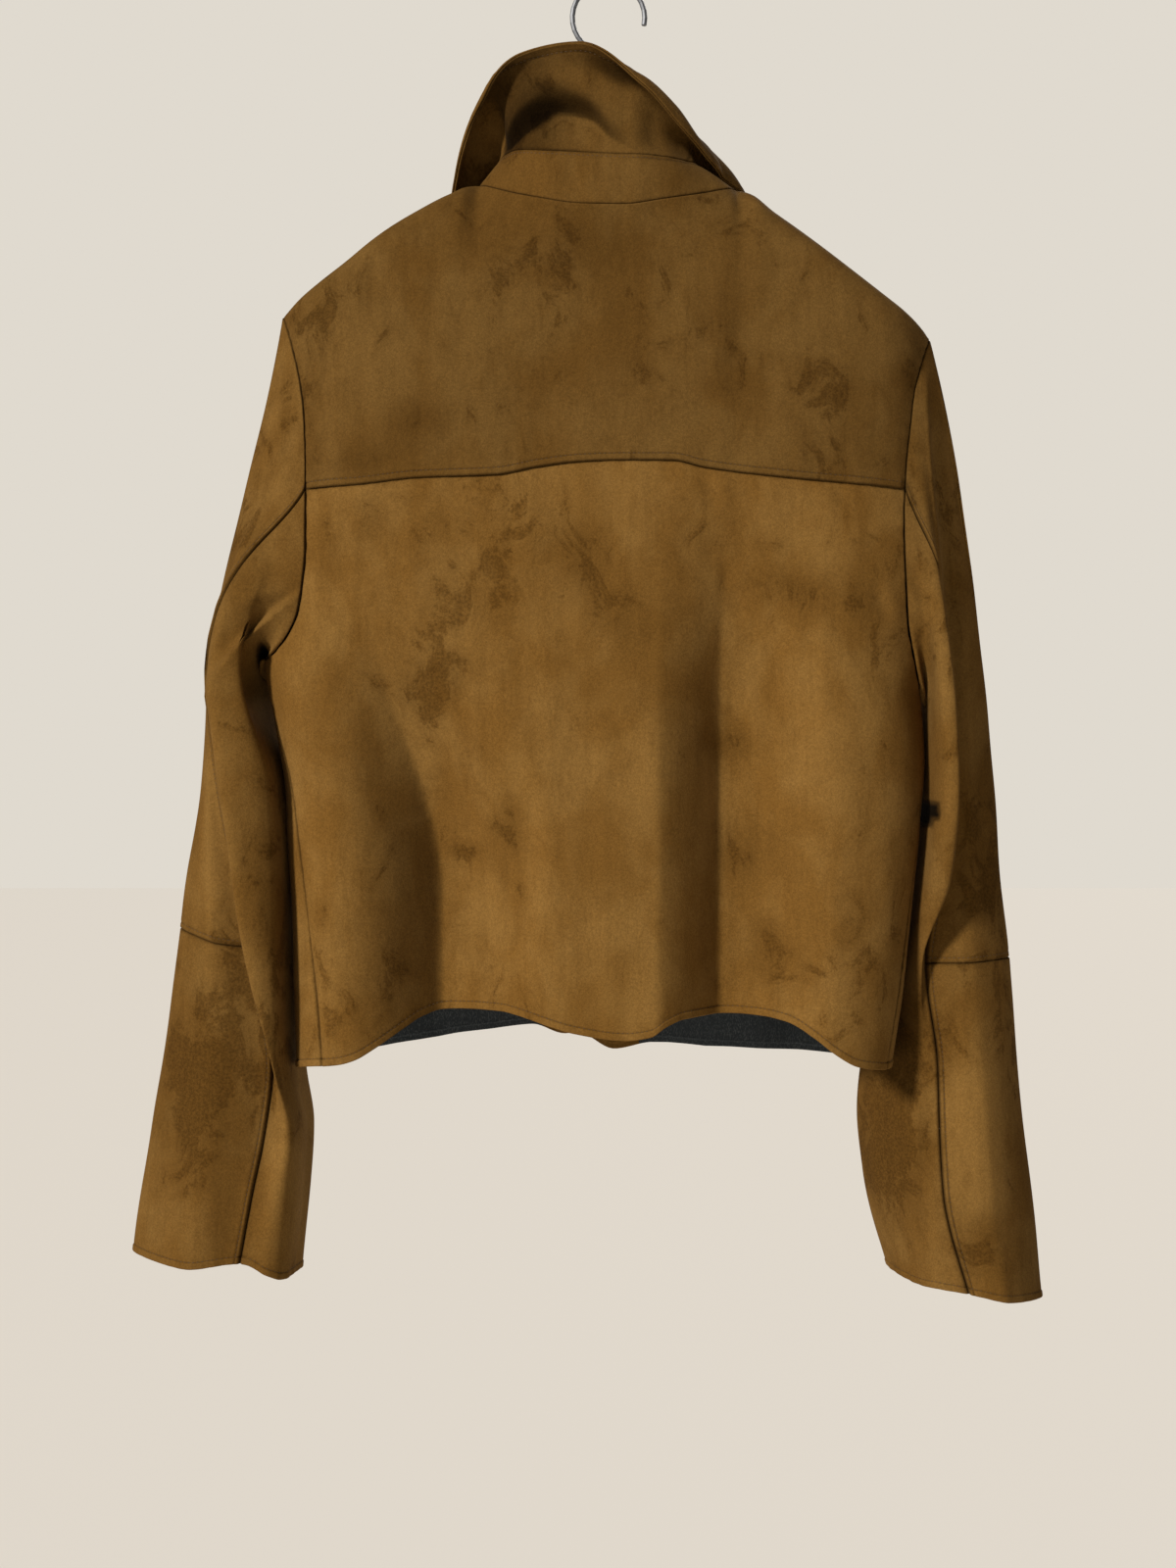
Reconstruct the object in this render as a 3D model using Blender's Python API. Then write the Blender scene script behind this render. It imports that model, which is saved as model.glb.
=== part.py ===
# A cropped suede jacket hanging on a plain hanger, seen from its back in the photograph.
# The origin is the inside top of the hanger's hook. +Z is up, the jacket's back faces -Y and its
# front +Y, and +X is the wearer's right. Tables are in millimetres; meshes are built in metres.

import math

import bpy
import numpy as np

MM = 0.001

# Cloth and seams
CLOTH = 1.6  # wall of the outer cloth
LINING = 1.0  # wall of the grey lining
FACING = 1.2  # wall of the front facings
COLLAR_LAYER = 1.2  # wall of the top collar and of the undercollar
STAND = 2.2  # wall of the collar stand, two layers sewn as one
SEAM_GAP = 0.3  # clear space between neighbouring pieces
SEAM_TRIM = SEAM_GAP / 2 + 0.1

# Heights of the main features
HEM_Z = {"left": -713.0, "right": -717.0}  # foot of the side seams
YOKE_Z = -339.0  # of the yoke seam at the armholes
UNDERARM_Z = {"left": -451.0, "right": -474.0}
SLEEVE_RING_Z = {"left": -475.0, "right": -490.0}  # the highest level section of a sleeve
NECK_FRONT_Z = -205.0  # foot of the neckline at the centre front
CHEST_Z = -290.0  # of the centre front, level in rows with the yoke seam
SIDES = {"left": -1.0, "right": 1.0}

# Hanger
HOOK_WIRE = 3.4  # wire diameter
HOOK_RADIUS = 24.0  # of the wire's centre line
HOOK_TURN = (-12, 236)  # degrees, from the tip to where the wire turns down
HOOK_NECK = 20.0  # height over which it comes to the middle
BAR_HALF_HIGH = 7.0
BAR_HALF_DEEP = 6.0
BAR_END_X = {"left": -196.0, "right": 192.0}
BAR_PLAY = 1.0  # under the cloth
BAR_STATIONS = 33
BAR_SIDES = 10
HOOK_SIDES = 8


def table(columns, *rows):
    """One array for each named column."""
    return dict(zip(columns.split(), np.array(rows, float).T))


# The body's two vertical edges: the side seam up to the underarm, then the back and the front
# line of the armhole, up to the shoulder point.
EDGES = {
    "left": table(
        "z back_x back_y front_x front_y",
        (-717, -186, -25, -186, -25),
        (-668, -190, -25, -190, -25),
        (-632, -194, -24, -194, -24),
        (-599, -198, -22, -198, -22),
        (-571, -202, -20, -202, -20),
        (-529, -208, -16, -208, -16),
        (-490, -219, -9, -219, -9),
        (-451, -228, -2, -228, -2),
        (-443, -218, -13, -220, 10),
        (-431, -208, -20, -211, 18),
        (-418, -202, -24, -206, 23),
        (-402, -199, -27, -203, 27),
        (-378, -196.5, -29, -201, 30),
        (-321, -197, -25, -201, 28),
        (-291, -198.5, -22, -202, 24),
        (-267, -202, -18, -204, 19),
        (-242, -208.5, -12, -209, 12),
        (-221, -216, 0, -216, 0),
    ),
    "right": table(
        "z back_x back_y front_x front_y",
        (-717, 182, -14, 182, -14),
        (-693, 186, -14, 186, -14),
        (-670, 190, -13, 190, -13),
        (-633, 195, -12, 195, -12),
        (-600, 199, -11, 199, -11),
        (-560, 204, -9, 204, -9),
        (-510, 208.5, -5, 208.5, -5),
        (-474, 207, -1, 207, -1),
        (-462, 203, -11, 204, 9),
        (-448, 199, -18, 202, 16),
        (-426, 194, -25, 199, 23),
        (-395, 192, -29, 197, 28),
        (-364, 191, -29, 196, 30),
        (-325, 193, -25, 196, 28),
        (-294, 197, -21, 198, 24),
        (-273, 200, -17, 201, 19),
        (-253, 206, -11, 206, 12),
        (-236, 213, 0, 213, 0),
    ),
}

# The ridge over the hanger, from the left shoulder point to the neck and on to the right one.
SHOULDER = table(
    "x z",
    (-216, -221),
    (-205, -211.5),
    (-192, -202),
    (-172, -187.5),
    (-154, -173),
    (-128, -155),
    (-105, -141.5),
    (-86, -134),
    (85, -137),
    (110, -155),
    (150, -186),
    (180, -208.5),
    (196, -220),
    (206, -228.5),
    (213, -236),
)

# The back neck seam, where the collar stand is sewn on.
NECK = table(
    "x y z",
    (-86, 0, -134),
    (-80, -15, -139),
    (-63, -30, -148),
    (-46, -38, -154),
    (-19, -43, -159.5),
    (9, -43, -160),
    (35, -38, -155),
    (61, -27, -147.5),
    (79, -13, -140),
    (85, 0, -137),
)

YOKE_SEAM = table(
    "x z",
    (-197, -339),
    (-163, -338),
    (-123, -334.5),
    (-72, -333),
    (-47, -328.5),
    (-19, -325),
    (10, -324),
    (39, -324),
    (61, -328.5),
    (110, -334),
    (150, -337),
    (193, -339),
)

# Lower edges. The back is drawn up where its two flutes lie deep.
BACK_HEM = table(
    "x z",
    (-186, -713),
    (-172, -710.5),
    (-164, -708),
    (-150, -700),
    (-135, -690),
    (-122, -682),
    (-108, -678),
    (-70, -677),
    (-57, -679),
    (-42, -683),
    (-20, -689),
    (10, -693),
    (26, -691),
    (36, -685),
    (48, -681),
    (77, -680),
    (100, -681),
    (116, -684),
    (130, -692),
    (146, -704),
    (160, -712),
    (182, -717),
)
FRONT_HEM = {
    "left": table(
        "x z",
        (-186, -713),
        (-178, -717),
        (-160, -715),
        (-125, -710),
        (-93, -704),
        (-50, -701),
        (-29, -708),
        (-17.5, -706),
    ),
    "right": table("x z", (-14.5, -709), (3, -719), (28, -714), (69, -714), (117, -716), (182, -717)),
}
CENTRE_X = {"left": -17.5, "right": -14.5}
NECKLINE = {
    "left": table("z x", (-205, -17.5), (-198, -34), (-186, -52), (-168, -69), (-150, -81), (-134, -86)),
    "right": table("z x", (-205, -14.5), (-198, 8), (-186, 34), (-168, 58), (-150, 76), (-137, 85)),
}

# Top of the hanger's bar inside the neck; under the shoulders it follows the cloth.
BAR_TOP = table(
    "x z",
    (-120, -154),
    (-105, -147.5),
    (-90, -142),
    (-74, -137),
    (-60, -131),
    (-40, -124),
    (0, -119),
    (40, -126),
    (58, -134),
    (74, -141),
    (88, -147),
    (104, -157),
    (120, -167),
)

# How far the back and the front stand off the plane of the hanger.
HANG = table(
    "z back front",
    (-717, 50, 92),
    (-600, 50, 88),
    (-450, 50, 80),
    (-340, 50, 68),
    (-260, 46, 56),
    (-200, 42, 44),
    (-134, 34, 26),
)

# How far each front swells past its side seam.
SIDE_SWELL = table(
    "z left right", (-717, 25, 9), (-660, 21, 7), (-600, 16, 6), (-520, 9, 4), (-451, 0, 0), (-410, 0, 0)
)

# How the panels turn at their sides, as shares of their width.
BACK_TURN = 0.045
BACK_ROUND = 0.22  # how much less the back stands off at its sides than at its middle
FRONT_TURN = (0.055, 0.19)  # at the chest, and below the armhole
FRONT_ROUND = 0.12
WRAP_TURN = 0.10  # width over which a front comes round from the side seam
WRAP_HEIGHT = 130.0  # height below the yoke seam over which it begins to
SWELL_AT = 0.07
WAVES_FROM = 0.3

# Deep flutes of the back: where each falls away and comes forward again at the hem, how far that
# moves by its top end, and the heights between which it grows.
FLUTES = table(
    "depth fall_from fall_to rise_from rise_to top_shift top_z full_z",
    (40, -182, -112, -106, -30, -45, -400, -600),
    (36, 30, 71, 78, 150, 3, -318, -540),
)
FALL_POWER = 1.35  # a flute falls ever steeper to its crease
# Softer waves of the fronts, in the same columns.
FRONT_WAVES = table(
    "depth fall_from fall_to rise_from rise_to top_shift top_z full_z",
    (14, -150, -120, -90, -50, -8, -380, -690),
    (16, 42, 70, 100, 140, 6, -360, -690),
)

# The collar's roll line, from the left front round the back to the right front, and its fall:
# sections seen from the ring's side, out from the neck and up from the roll line.
COLLAR = table(
    "share roll_x roll_y roll_z low_out low_up high_out high_up rim_out rim_up",
    (0.00, -19, 42, -173, 5, 7, 12, -16, 19, -78),
    (0.10, -43, 38, -153, 5, 9, 15, -10, 26, -68),
    (0.20, -65, 23, -132, 3, 12, 19, 4, 40, -36),
    (0.28, -74, 4, -120, -1, 17, 12, 22, 25, -2),
    (0.33, -70, -9, -118, -3, 20, 7, 36, 20, 19),
    (0.38, -62, -24, -119, -4, 22, 5, 42, 16, 37),
    (0.44, -43, -36, -123, -5, 22, 4, 45, 18, 55),
    (0.50, -14, -41, -126, -6, 22, 3, 46, 18, 61.5),
    (0.56, 14, -41, -127, -6, 22, 2, 43, 15, 39),
    (0.62, 36, -33, -126, -6, 19, 2, 31, 11.5, 16.5),
    (0.67, 49, -20, -124, -5, 15, 2.5, 17.5, 12, 3),
    (0.72, 58, -5, -122, -3, 13, 5, 11, 15, -8),
    (0.76, 58, 8, -126, 0, 13, 14, 11, 31, -11),
    (0.82, 48, 24, -135, 3, 12, 24, 6, 48, -30),
    (0.90, 23, 38, -154, 5, 9, 15, -10, 26, -68),
    (1.00, -13, 42, -173, 5, 7, 12, -16, 19, -78),
)
# The fold over the middle of the fall: how high above the roll line, and how far it comes out.
FALL_FOLD = table(
    "share up out",
    (0.00, 10, 0),
    (0.31, 10, 0),
    (0.36, 8, 6),
    (0.41, 20, 11),
    (0.46, 32, 13),
    (0.50, 29, 12),
    (0.535, 16, 8),
    (0.57, 8, 4),
    (0.61, 6, 0),
    (1.00, 6, 0),
)
FALL_FOLD_REACH = 16.0  # height over which the fold comes out
NECK_CENTRE = (0.0, 4.0)
STAND_BOW = 1.5
FALL_KNOTS = (0.0, 0.30, 0.65, 1.0)  # roll line, low, high and rim, along the fall
NECK_SHARES = (0.265, 0.735)  # of the collar ring, at the shoulder ends of the neck

# Level sections of the sleeves: eight points round each, from the underarm by the near side,
# over the fold's ridge and its hidden valley, to the outer edge and the front.
SLEEVE_SHARES = np.array([0.05, 0.15, 0.25, 0.33, 0.40, 0.46, 0.56, 0.78])
SLEEVE_POINTS = ("inner", "near", "swell", "ridge", "valley", "back", "outer", "front")
SLEEVES = {
    "left": table(
        "z inner_x inner_y near_x near_y swell_x swell_y ridge_x ridge_y"
        " valley_x valley_y back_x back_y outer_x outer_y front_x front_y",
        (-475, -225.5, 29, -238.5, -10, -237, -29, -258, -29, -264, -12, -266.5, -3, -268, 12, -252, 46),
        (-530, -214, 36, -217, -16, -225, -33, -250, -36, -256, -12, -265, -6, -272, 14, -250, 52),
        (-590, -211, 38, -214, -16, -223, -32, -243, -35, -244, -10, -264, -8, -283, 18, -250, 58),
        (-650, -208, 38, -213, -12, -218, -31, -234, -32, -233, -9, -262, -10, -291, 20, -250, 64),
        (-717, -207.5, 39, -210, -2, -213.5, -18, -218, -25, -221, -11, -262, -14, -301, 23, -252, 70),
        (-760, -202.5, 38, -202.5, 14, -205, -6, -210, -17, -226, -12, -266, -16, -309, 25, -256, 70),
        (-800, -204.5, 37, -204.5, 14, -208, -7, -216, -16, -234, -13, -272, -16, -316, 27, -260, 70),
        (-860, -211, 36, -211, 14, -216, -6, -227, -13, -245, -12, -279, -14, -324, 28, -268, 68),
    ),
    "right": table(
        "z inner_x inner_y near_x near_y swell_x swell_y ridge_x ridge_y"
        " valley_x valley_y back_x back_y outer_x outer_y front_x front_y",
        (-475, 211.5, 30, 212, -8, 214, -32, 223, -34, 223, -10, 239, -2, 255, 20, 236, 60),
        (-530, 210, 37, 212, -8, 216, -30, 226, -32, 225, -8, 242, 2, 261, 24, 238, 66),
        (-590, 205, 43, 208, -7, 212, -23, 222, -26, 220, -2, 243, 4, 266, 28, 238, 72),
        (-650, 193, 58, 196, 28, 200, 8, 207, -4, 212, 6, 243, 2, 273, 31, 238, 79),
        (-717, 181, 72, 181, 54, 192, 32, 206, 10, 219, 3, 248, -2, 279, 33, 234, 84),
        (-760, 177, 70, 179, 48, 190, 24, 203, 6, 220, 1, 251, -4, 283, 35, 234, 88),
        (-800, 180.5, 68, 182, 46, 195, 20, 208, 4, 222, -1, 254, -5, 288, 35, 236, 88),
        (-880, 201, 62, 202, 42, 212, 18, 223, 3, 242, -2, 266, -4, 296, 35, 250, 82),
    ),
}
# Lower edge of each sleeve, round the same shares.
CUFF_Z = {
    "left": (-858, -858, -857, -852, -845, -848, -846, -856),
    "right": (-865, -866, -867, -866, -868, -873, -879, -876),
}
ELBOW_Z = {"left": (-627.0, -638.0), "right": (-648.0, -650.0)}  # at the outer edge, at the back seam
BACK_SEAM_SHARE = (0.27, 0.40)  # of the sleeve's long seam at the armhole, and below
BACK_SEAM_TURN = 0.78  # share of the way to the level ring where that seam runs straight
FRONT_SEAM_SHARE = 0.86
SHOULDER_SHARE = 0.54  # of the shoulder point
SLEEVE_LEAVES = {"left": 0.15, "right": 0.25}  # how far out the sleeve's crown sets off, per unit down
UNDERARM_LEAVES = {"left": 2.2, "right": 0.7}  # and its underarm

# Grids
SIDE_SHARES = np.array([0, 7, 15, 23, 31, 39, 47, 55, 60, 64.286, 70.053, 75.5, 82, 91, 100]) / 100
UNDERARM_ROW = {"left": 10, "right": 9}  # of SIDE_SHARES: the rows that lie at UNDERARM_Z
YOKE_SHARE = 0.70  # of a front's height at the side, level with the yoke seam
NECK_SHARE = 0.80  # of a front's height at the centre, at the neckline's foot
YOKE_ROWS = 8
CHEST_SHARES = (0.75, NECK_SHARE)  # rows of the fronts between the yoke seam's height and the neckline
NECK_ROWS = 5
FRONT_COLUMNS = 11
FACING_COLUMNS = 2
NECK_COLUMNS = 12
FACING_WIDTH = {"left": 26.0, "right": 34.0}
FOOT_SPACING = 18.0  # of the collar's columns along the neck seam
STAND_ROWS = 3
FALL_ROWS = 6
ARMHOLE_SPACING = 22.0  # of the sleeves' columns along the armhole
ARM_ROWS_HIGH = 7
ARM_ROWS_MIDDLE = 5
ARM_ROWS_LOW = 6
LINING_ROWS = 11
SEAM_REACH = 5.0  # how near an edge point of the neighbouring piece has to be

SUEDE = (0.235, 0.128, 0.045)
GREY = (0.030, 0.036, 0.040)
BAR_BLACK = (0.02, 0.02, 0.02)
CHROME = (0.70, 0.70, 0.72)


def slopes(at, values):
    """Slopes that carry a curve smoothly through the rows without overshooting them."""
    step = np.diff(at)
    rise = np.diff(values) / step
    inner = np.zeros(len(values))
    same = rise[:-1] * rise[1:] > 0
    weight_a = 2 * step[1:] + step[:-1]
    weight_b = step[1:] + 2 * step[:-1]
    with np.errstate(divide="ignore", invalid="ignore"):
        middle = (weight_a + weight_b) / (weight_a / rise[:-1] + weight_b / rise[1:])
    inner[1:-1] = np.where(same, middle, 0.0)
    inner[0] = rise[0]
    inner[-1] = rise[-1]
    return inner


def through(at, values, where):
    """The smooth curve through (at, values), read at where."""
    where = np.clip(np.asarray(where, float), at[0], at[-1])
    slope = slopes(at, values)
    cell = np.clip(np.searchsorted(at, where, side="right") - 1, 0, len(at) - 2)
    span = at[cell + 1] - at[cell]
    t = (where - at[cell]) / span
    return (
        (1 + 2 * t) * (1 - t) ** 2 * values[cell]
        + t * (1 - t) ** 2 * span * slope[cell]
        + t * t * (3 - 2 * t) * values[cell + 1]
        - t * t * (1 - t) * span * slope[cell + 1]
    )


def column(rows, name, where, key="z"):
    return through(rows[key], rows[name], where)


def ease(t):
    t = np.clip(t, 0.0, 1.0)
    return t * t * (3 - 2 * t)


def mix(a, b, t):
    return a + (b - a) * t


def unit(vectors):
    length = np.linalg.norm(vectors, axis=-1, keepdims=True)
    return vectors / np.maximum(length, 1e-9)


def waves(rows, x, z):
    """How far the cloth is set back by the flutes of one table."""
    total = np.zeros(np.broadcast(x, z).shape)
    for i in range(len(rows["depth"])):
        grown = ease((rows["top_z"][i] - z) / (rows["top_z"][i] - rows["full_z"][i]))
        at = x - rows["top_shift"][i] * (1 - grown)
        fall = (at - rows["fall_from"][i]) / (rows["fall_to"][i] - rows["fall_from"][i])
        falls = np.clip(fall, 0, 1) ** FALL_POWER
        rises = ease((at - rows["rise_from"][i]) / (rows["rise_to"][i] - rows["rise_from"][i]))
        total = total + rows["depth"][i] * grown * falls * (1 - rises)
    return total


def ridge_fade(x, below):
    """1 on the shoulder ridge and falling to 0 below it, round as cloth over a bar."""
    reach = 7 + 15 * ease((150 - np.abs(x)) / 90)
    over_neck = ease((98 - np.abs(x)) / 14)
    round_nose = 1 - np.sqrt(1 - np.exp(-np.maximum(below, 0) / reach))
    soft = np.exp(-np.maximum(below, 0) / 20)
    return mix(round_nose, soft, over_neck)


def top_line(x):
    """Height and depth of the upper edge of the yoke: shoulder, neck, shoulder."""
    in_neck = (x > NECK["x"][0]) & (x < NECK["x"][-1])
    z = np.where(in_neck, column(NECK, "z", x, "x"), column(SHOULDER, "z", x, "x"))
    y = np.where(in_neck, column(NECK, "y", x, "x"), 0.0)
    return z, y


def back_surface(u, z):
    """A point of the back: u across it from the left edge to the right, z its height."""
    left_x = column(EDGES["left"], "back_x", z)
    right_x = column(EDGES["right"], "back_x", z)
    x = mix(left_x, right_x, u)
    edge_y = np.where(
        u < 0.5, column(EDGES["left"], "back_y", z), column(EDGES["right"], "back_y", z)
    )
    near_edge = np.exp(-np.minimum(u, 1 - u) / BACK_TURN)
    hang = -column(HANG, "back", z) * (1 - BACK_ROUND * (2 * u - 1) ** 2)
    y = hang + waves(FLUTES, x, z)
    y = mix(y, edge_y, near_edge)
    top_z, top_y = top_line(x)
    y = mix(y, top_y, ridge_fade(x, top_z - z) * (1 - near_edge))
    return np.stack(np.broadcast_arrays(x, y, z), axis=-1)


def back_grid(u, low, high, rows):
    """Rows of the back between two heights given for each column."""
    share = rows[:, None]
    z = mix(low[None, :], high[None, :], share)
    return back_surface(np.broadcast_to(u[None, :], z.shape), z)


def edge_x(z, u):
    return mix(column(EDGES["left"], "back_x", z), column(EDGES["right"], "back_x", z), u)


def height_where(u, line):
    """The height at which the column u of the back meets a line given as z over x."""
    z = line(edge_x(np.full(u.shape, -340.0), u))
    for _ in range(6):
        z = line(edge_x(z, u))
    return z


def front_edge_x(side, z):
    """Centre front up to the neckline's foot, then the neckline."""
    return np.where(z <= NECK_FRONT_Z, CENTRE_X[side], column(NECKLINE[side], "x", z))


def front_heights(side, v):
    """Heights of a front's two edges at v: the side with the armhole, and the centre."""
    top = EDGES[side]["z"][-1]
    neck_top = NECKLINE[side]["z"][-1]
    centre_hem = float(column(FRONT_HEM[side], "z", CENTRE_X[side], "x"))
    at_side = np.interp(v, [0, YOKE_SHARE, NECK_SHARE, 1], [HEM_Z[side], YOKE_Z, mix(YOKE_Z, top, 0.33), top])
    at_centre = np.interp(v, [0, YOKE_SHARE, NECK_SHARE, 1], [centre_hem, CHEST_Z, NECK_FRONT_Z, neck_top])
    return at_side, at_centre


def front_surface(side, u, v):
    """A point of one front: u from the side to the centre, v from the hem to the shoulder."""
    edges = EDGES[side]
    hem = FRONT_HEM[side]
    end = 0 if side == "left" else -1
    z_side, z_centre = front_heights(side, v)
    below = z_side <= UNDERARM_Z[side]
    x_side = np.where(below, column(edges, "back_x", z_side), column(edges, "front_x", z_side))
    y_side = np.where(below, column(edges, "back_y", z_side), column(edges, "front_y", z_side))
    hem_line = mix(edges["back_x"][0], CENTRE_X[side], u)
    centre_hem = float(column(hem, "z", CENTRE_X[side], "x"))
    hem_change = column(hem, "z", hem_line, "x") - mix(HEM_Z[side], centre_hem, u)
    shoulder_x = mix(SHOULDER["x"][end], NECK["x"][end], u)
    top_change = column(SHOULDER, "z", shoulder_x, "x") - mix(edges["z"][-1], NECKLINE[side]["z"][-1], u)
    z = mix(z_side, z_centre, u) + (1 - v) ** 2 * hem_change + v * top_change
    wrap = ease((YOKE_Z - z_side) / WRAP_HEIGHT)
    slack = WRAP_TURN * (1 - np.exp(-u / WRAP_TURN))
    held = (u - slack) / (1 - WRAP_TURN * (1 - np.exp(-1 / WRAP_TURN)))
    x = mix(x_side, front_edge_x(side, z_centre), mix(u, held, wrap))
    swell = column(SIDE_SWELL, side, z_side) * (u / SWELL_AT) * np.exp(1 - u / SWELL_AT)
    x = x + SIDES[side] * swell
    near_side = np.exp(-u / mix(FRONT_TURN[0], FRONT_TURN[1], wrap))
    y = column(HANG, "front", z) * (1 - FRONT_ROUND * (1 - u) ** 2)
    y = y - waves(FRONT_WAVES, x, z) * ease(u / WAVES_FROM)
    y = mix(y, y_side, near_side)
    y = y * (1 - ridge_fade(x, column(SHOULDER, "z", x, "x") - z) * (1 - near_side))
    return np.stack(np.broadcast_arrays(x, y, z), axis=-1)


def ring_curve(values, share):
    """The closed smooth curve through a section's points, read at shares round it."""
    count = len(SLEEVE_SHARES)
    knots = np.concatenate([SLEEVE_SHARES - 1, SLEEVE_SHARES, SLEEVE_SHARES + 1])
    share = np.mod(share, 1.0)
    cell = np.searchsorted(knots, share, side="right") - 1
    span = knots[cell + 1] - knots[cell]
    t = (share - knots[cell]) / span

    def at(i):
        if values.ndim == 1:
            return values[i % count]
        return np.take_along_axis(values, (i % count)[None], axis=0)[0]

    slope_a = (at(cell + 1) - at(cell - 1)) / (knots[cell + 1] - knots[cell - 1])
    slope_b = (at(cell + 2) - at(cell)) / (knots[cell + 2] - knots[cell])
    return (
        (1 + 2 * t) * (1 - t) ** 2 * at(cell)
        + t * (1 - t) ** 2 * span * slope_a
        + t * t * (3 - 2 * t) * at(cell + 1)
        - t * t * (1 - t) * span * slope_b
    )


def sleeve_section(side, share, z):
    """A point of the sleeve at a height below its first level ring."""
    rows = SLEEVES[side]
    points = []
    for axis in "xy":
        values = [through(-rows["z"], rows[f"{name}_{axis}"], -z) for name in SLEEVE_POINTS]
        points.append(ring_curve(np.array(values), share))
    return np.stack([points[0], points[1], z], axis=-1)


def cuff_height(side, share):
    return ring_curve(np.array(CUFF_Z[side], float), share)


def sleeve_surface(side, share, level, line):
    """A point of the sleeve: level 0 at the armhole, 1 at the first level ring, 2 at the cuff."""
    share, level = np.broadcast_arrays(share, level)
    start = np.stack([np.interp(np.mod(share, 1.0), line[0], line[1][:, i]) for i in range(3)], axis=-1)
    start = start + np.array([SIDES[side] * SEAM_GAP, 0, 0])  # clear of the body's edge
    ring_z = np.full(share.shape, SLEEVE_RING_Z[side])
    ring = sleeve_section(side, share, ring_z)
    span = np.linalg.norm(ring - start, axis=-1)[..., None]
    under = 0.5 + 0.5 * np.cos(2 * math.pi * share)
    outward = SIDES[side] * mix(SLEEVE_LEAVES[side], UNDERARM_LEAVES[side], under**2)
    leave = unit(np.stack([outward, 0 * under, 0 * under - 1], axis=-1))
    arrive = unit(sleeve_section(side, share, ring_z - 8) - ring)
    t = np.clip(level, 0, 1)[..., None]
    high = (
        (1 + 2 * t) * (1 - t) ** 2 * start
        + t * (1 - t) ** 2 * span * leave
        + t * t * (3 - 2 * t) * ring
        - t * t * (1 - t) * span * arrive
    )
    low = sleeve_section(side, share, mix(ring_z, cuff_height(side, share), np.clip(level - 1, 0, 1)))
    return np.where(level[..., None] <= 1, high, low)


def back_seam(level):
    """Share round the sleeve at which its long back seam runs."""
    return mix(BACK_SEAM_SHARE[0], BACK_SEAM_SHARE[1], ease(level / BACK_SEAM_TURN))


def elbow_level(side, share):
    """Level at which the elbow seam crosses a share of the outer sleeve."""
    outer = SLEEVE_SHARES[SLEEVE_POINTS.index("outer")]
    across = ease((share - BACK_SEAM_SHARE[1]) / (outer - BACK_SEAM_SHARE[1]))
    height = mix(ELBOW_Z[side][1], ELBOW_Z[side][0], across)
    ring_z = SLEEVE_RING_Z[side]
    return 1 + (ring_z - height) / (ring_z - cuff_height(side, share))


def roll_line(share):
    return np.stack([column(COLLAR, f"roll_{axis}", share, "share") for axis in "xyz"], axis=-1)


def fall_out(share):
    """Level direction in which the collar leaves the neck at a share of the ring."""
    out = unit(roll_line(share)[..., :2] - np.array(NECK_CENTRE))
    return np.concatenate([out, np.zeros(out.shape[:-1] + (1,))], axis=-1)


def stand_surface(share, up, line):
    """A point of the collar stand: up 0 at the neck seam, 1 at the roll line."""
    share, up = np.broadcast_arrays(share, up)
    foot = np.stack([np.interp(share, line[0], line[1][:, i]) for i in range(3)], axis=-1)
    top = roll_line(share)
    bow = np.sin(math.pi * up) * STAND_BOW
    return mix(foot, top, up[..., None]) + fall_out(share) * bow[..., None]


def four_points(knots, values, t):
    """The cubic through four values at four knots."""
    total = 0
    for i in range(4):
        weight = 1.0
        for j in range(4):
            if j != i:
                weight = weight * (t - knots[j]) / (knots[i] - knots[j])
        total = total + values[i] * weight
    return total


def fall_surface(share, along):
    """A point of the collar's fall: along 0 at the roll line, 1 at the rim."""
    share, along = np.broadcast_arrays(share, along)
    knots = FALL_KNOTS
    zero = np.zeros(share.shape)
    outs = [zero] + [column(COLLAR, f"{name}_out", share, "share") for name in ("low", "high", "rim")]
    ups = [zero] + [column(COLLAR, f"{name}_up", share, "share") for name in ("low", "high", "rim")]
    distance = four_points(knots, outs, along)[..., None]
    height = four_points(knots, ups, along)[..., None]
    above = (height[..., 0] - column(FALL_FOLD, "up", share, "share")) / FALL_FOLD_REACH
    fold = column(FALL_FOLD, "out", share, "share") * (ease(above + 0.5) - ease(along))
    distance = distance + fold[..., None]
    return roll_line(share) + fall_out(share) * distance + np.array([0, 0, 1.0]) * height


PANELS = {}


def trimmed(points, seams):
    """The grid with its seam edges drawn back by half a seam gap."""
    moved = points.copy()
    pairs = {
        "first_column": ((slice(None), 0), (slice(None), 1)),
        "last_column": ((slice(None), -1), (slice(None), -2)),
        "first_row": ((0,), (1,)),
        "last_row": ((-1,), (-2,)),
    }
    for name in seams:
        edge, beside = pairs[name]
        along = unit(np.gradient(points[edge], axis=0))
        aside = points[beside] - points[edge]
        aside = aside - (aside * along).sum(axis=-1, keepdims=True) * along
        moved[edge] += unit(aside) * SEAM_TRIM
    return moved


def add_panel(name, points, seams, wall, colour, flip=False, start=0.0, like=None, cells=None):
    """Keep a piece of cloth for building. A layer inside another takes that one's directions."""
    across = np.gradient(points, axis=1)
    along = np.gradient(points, axis=0)
    normals = unit(np.cross(across, along))
    PANELS[name] = {
        "points": trimmed(points, seams),
        "normals": -normals if flip else normals,
        "wall": wall,
        "start": start,
        "colour": colour,
        "flip": flip,
        "seams": seams,
        "like": like,
        "cells": cells,
    }


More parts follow.
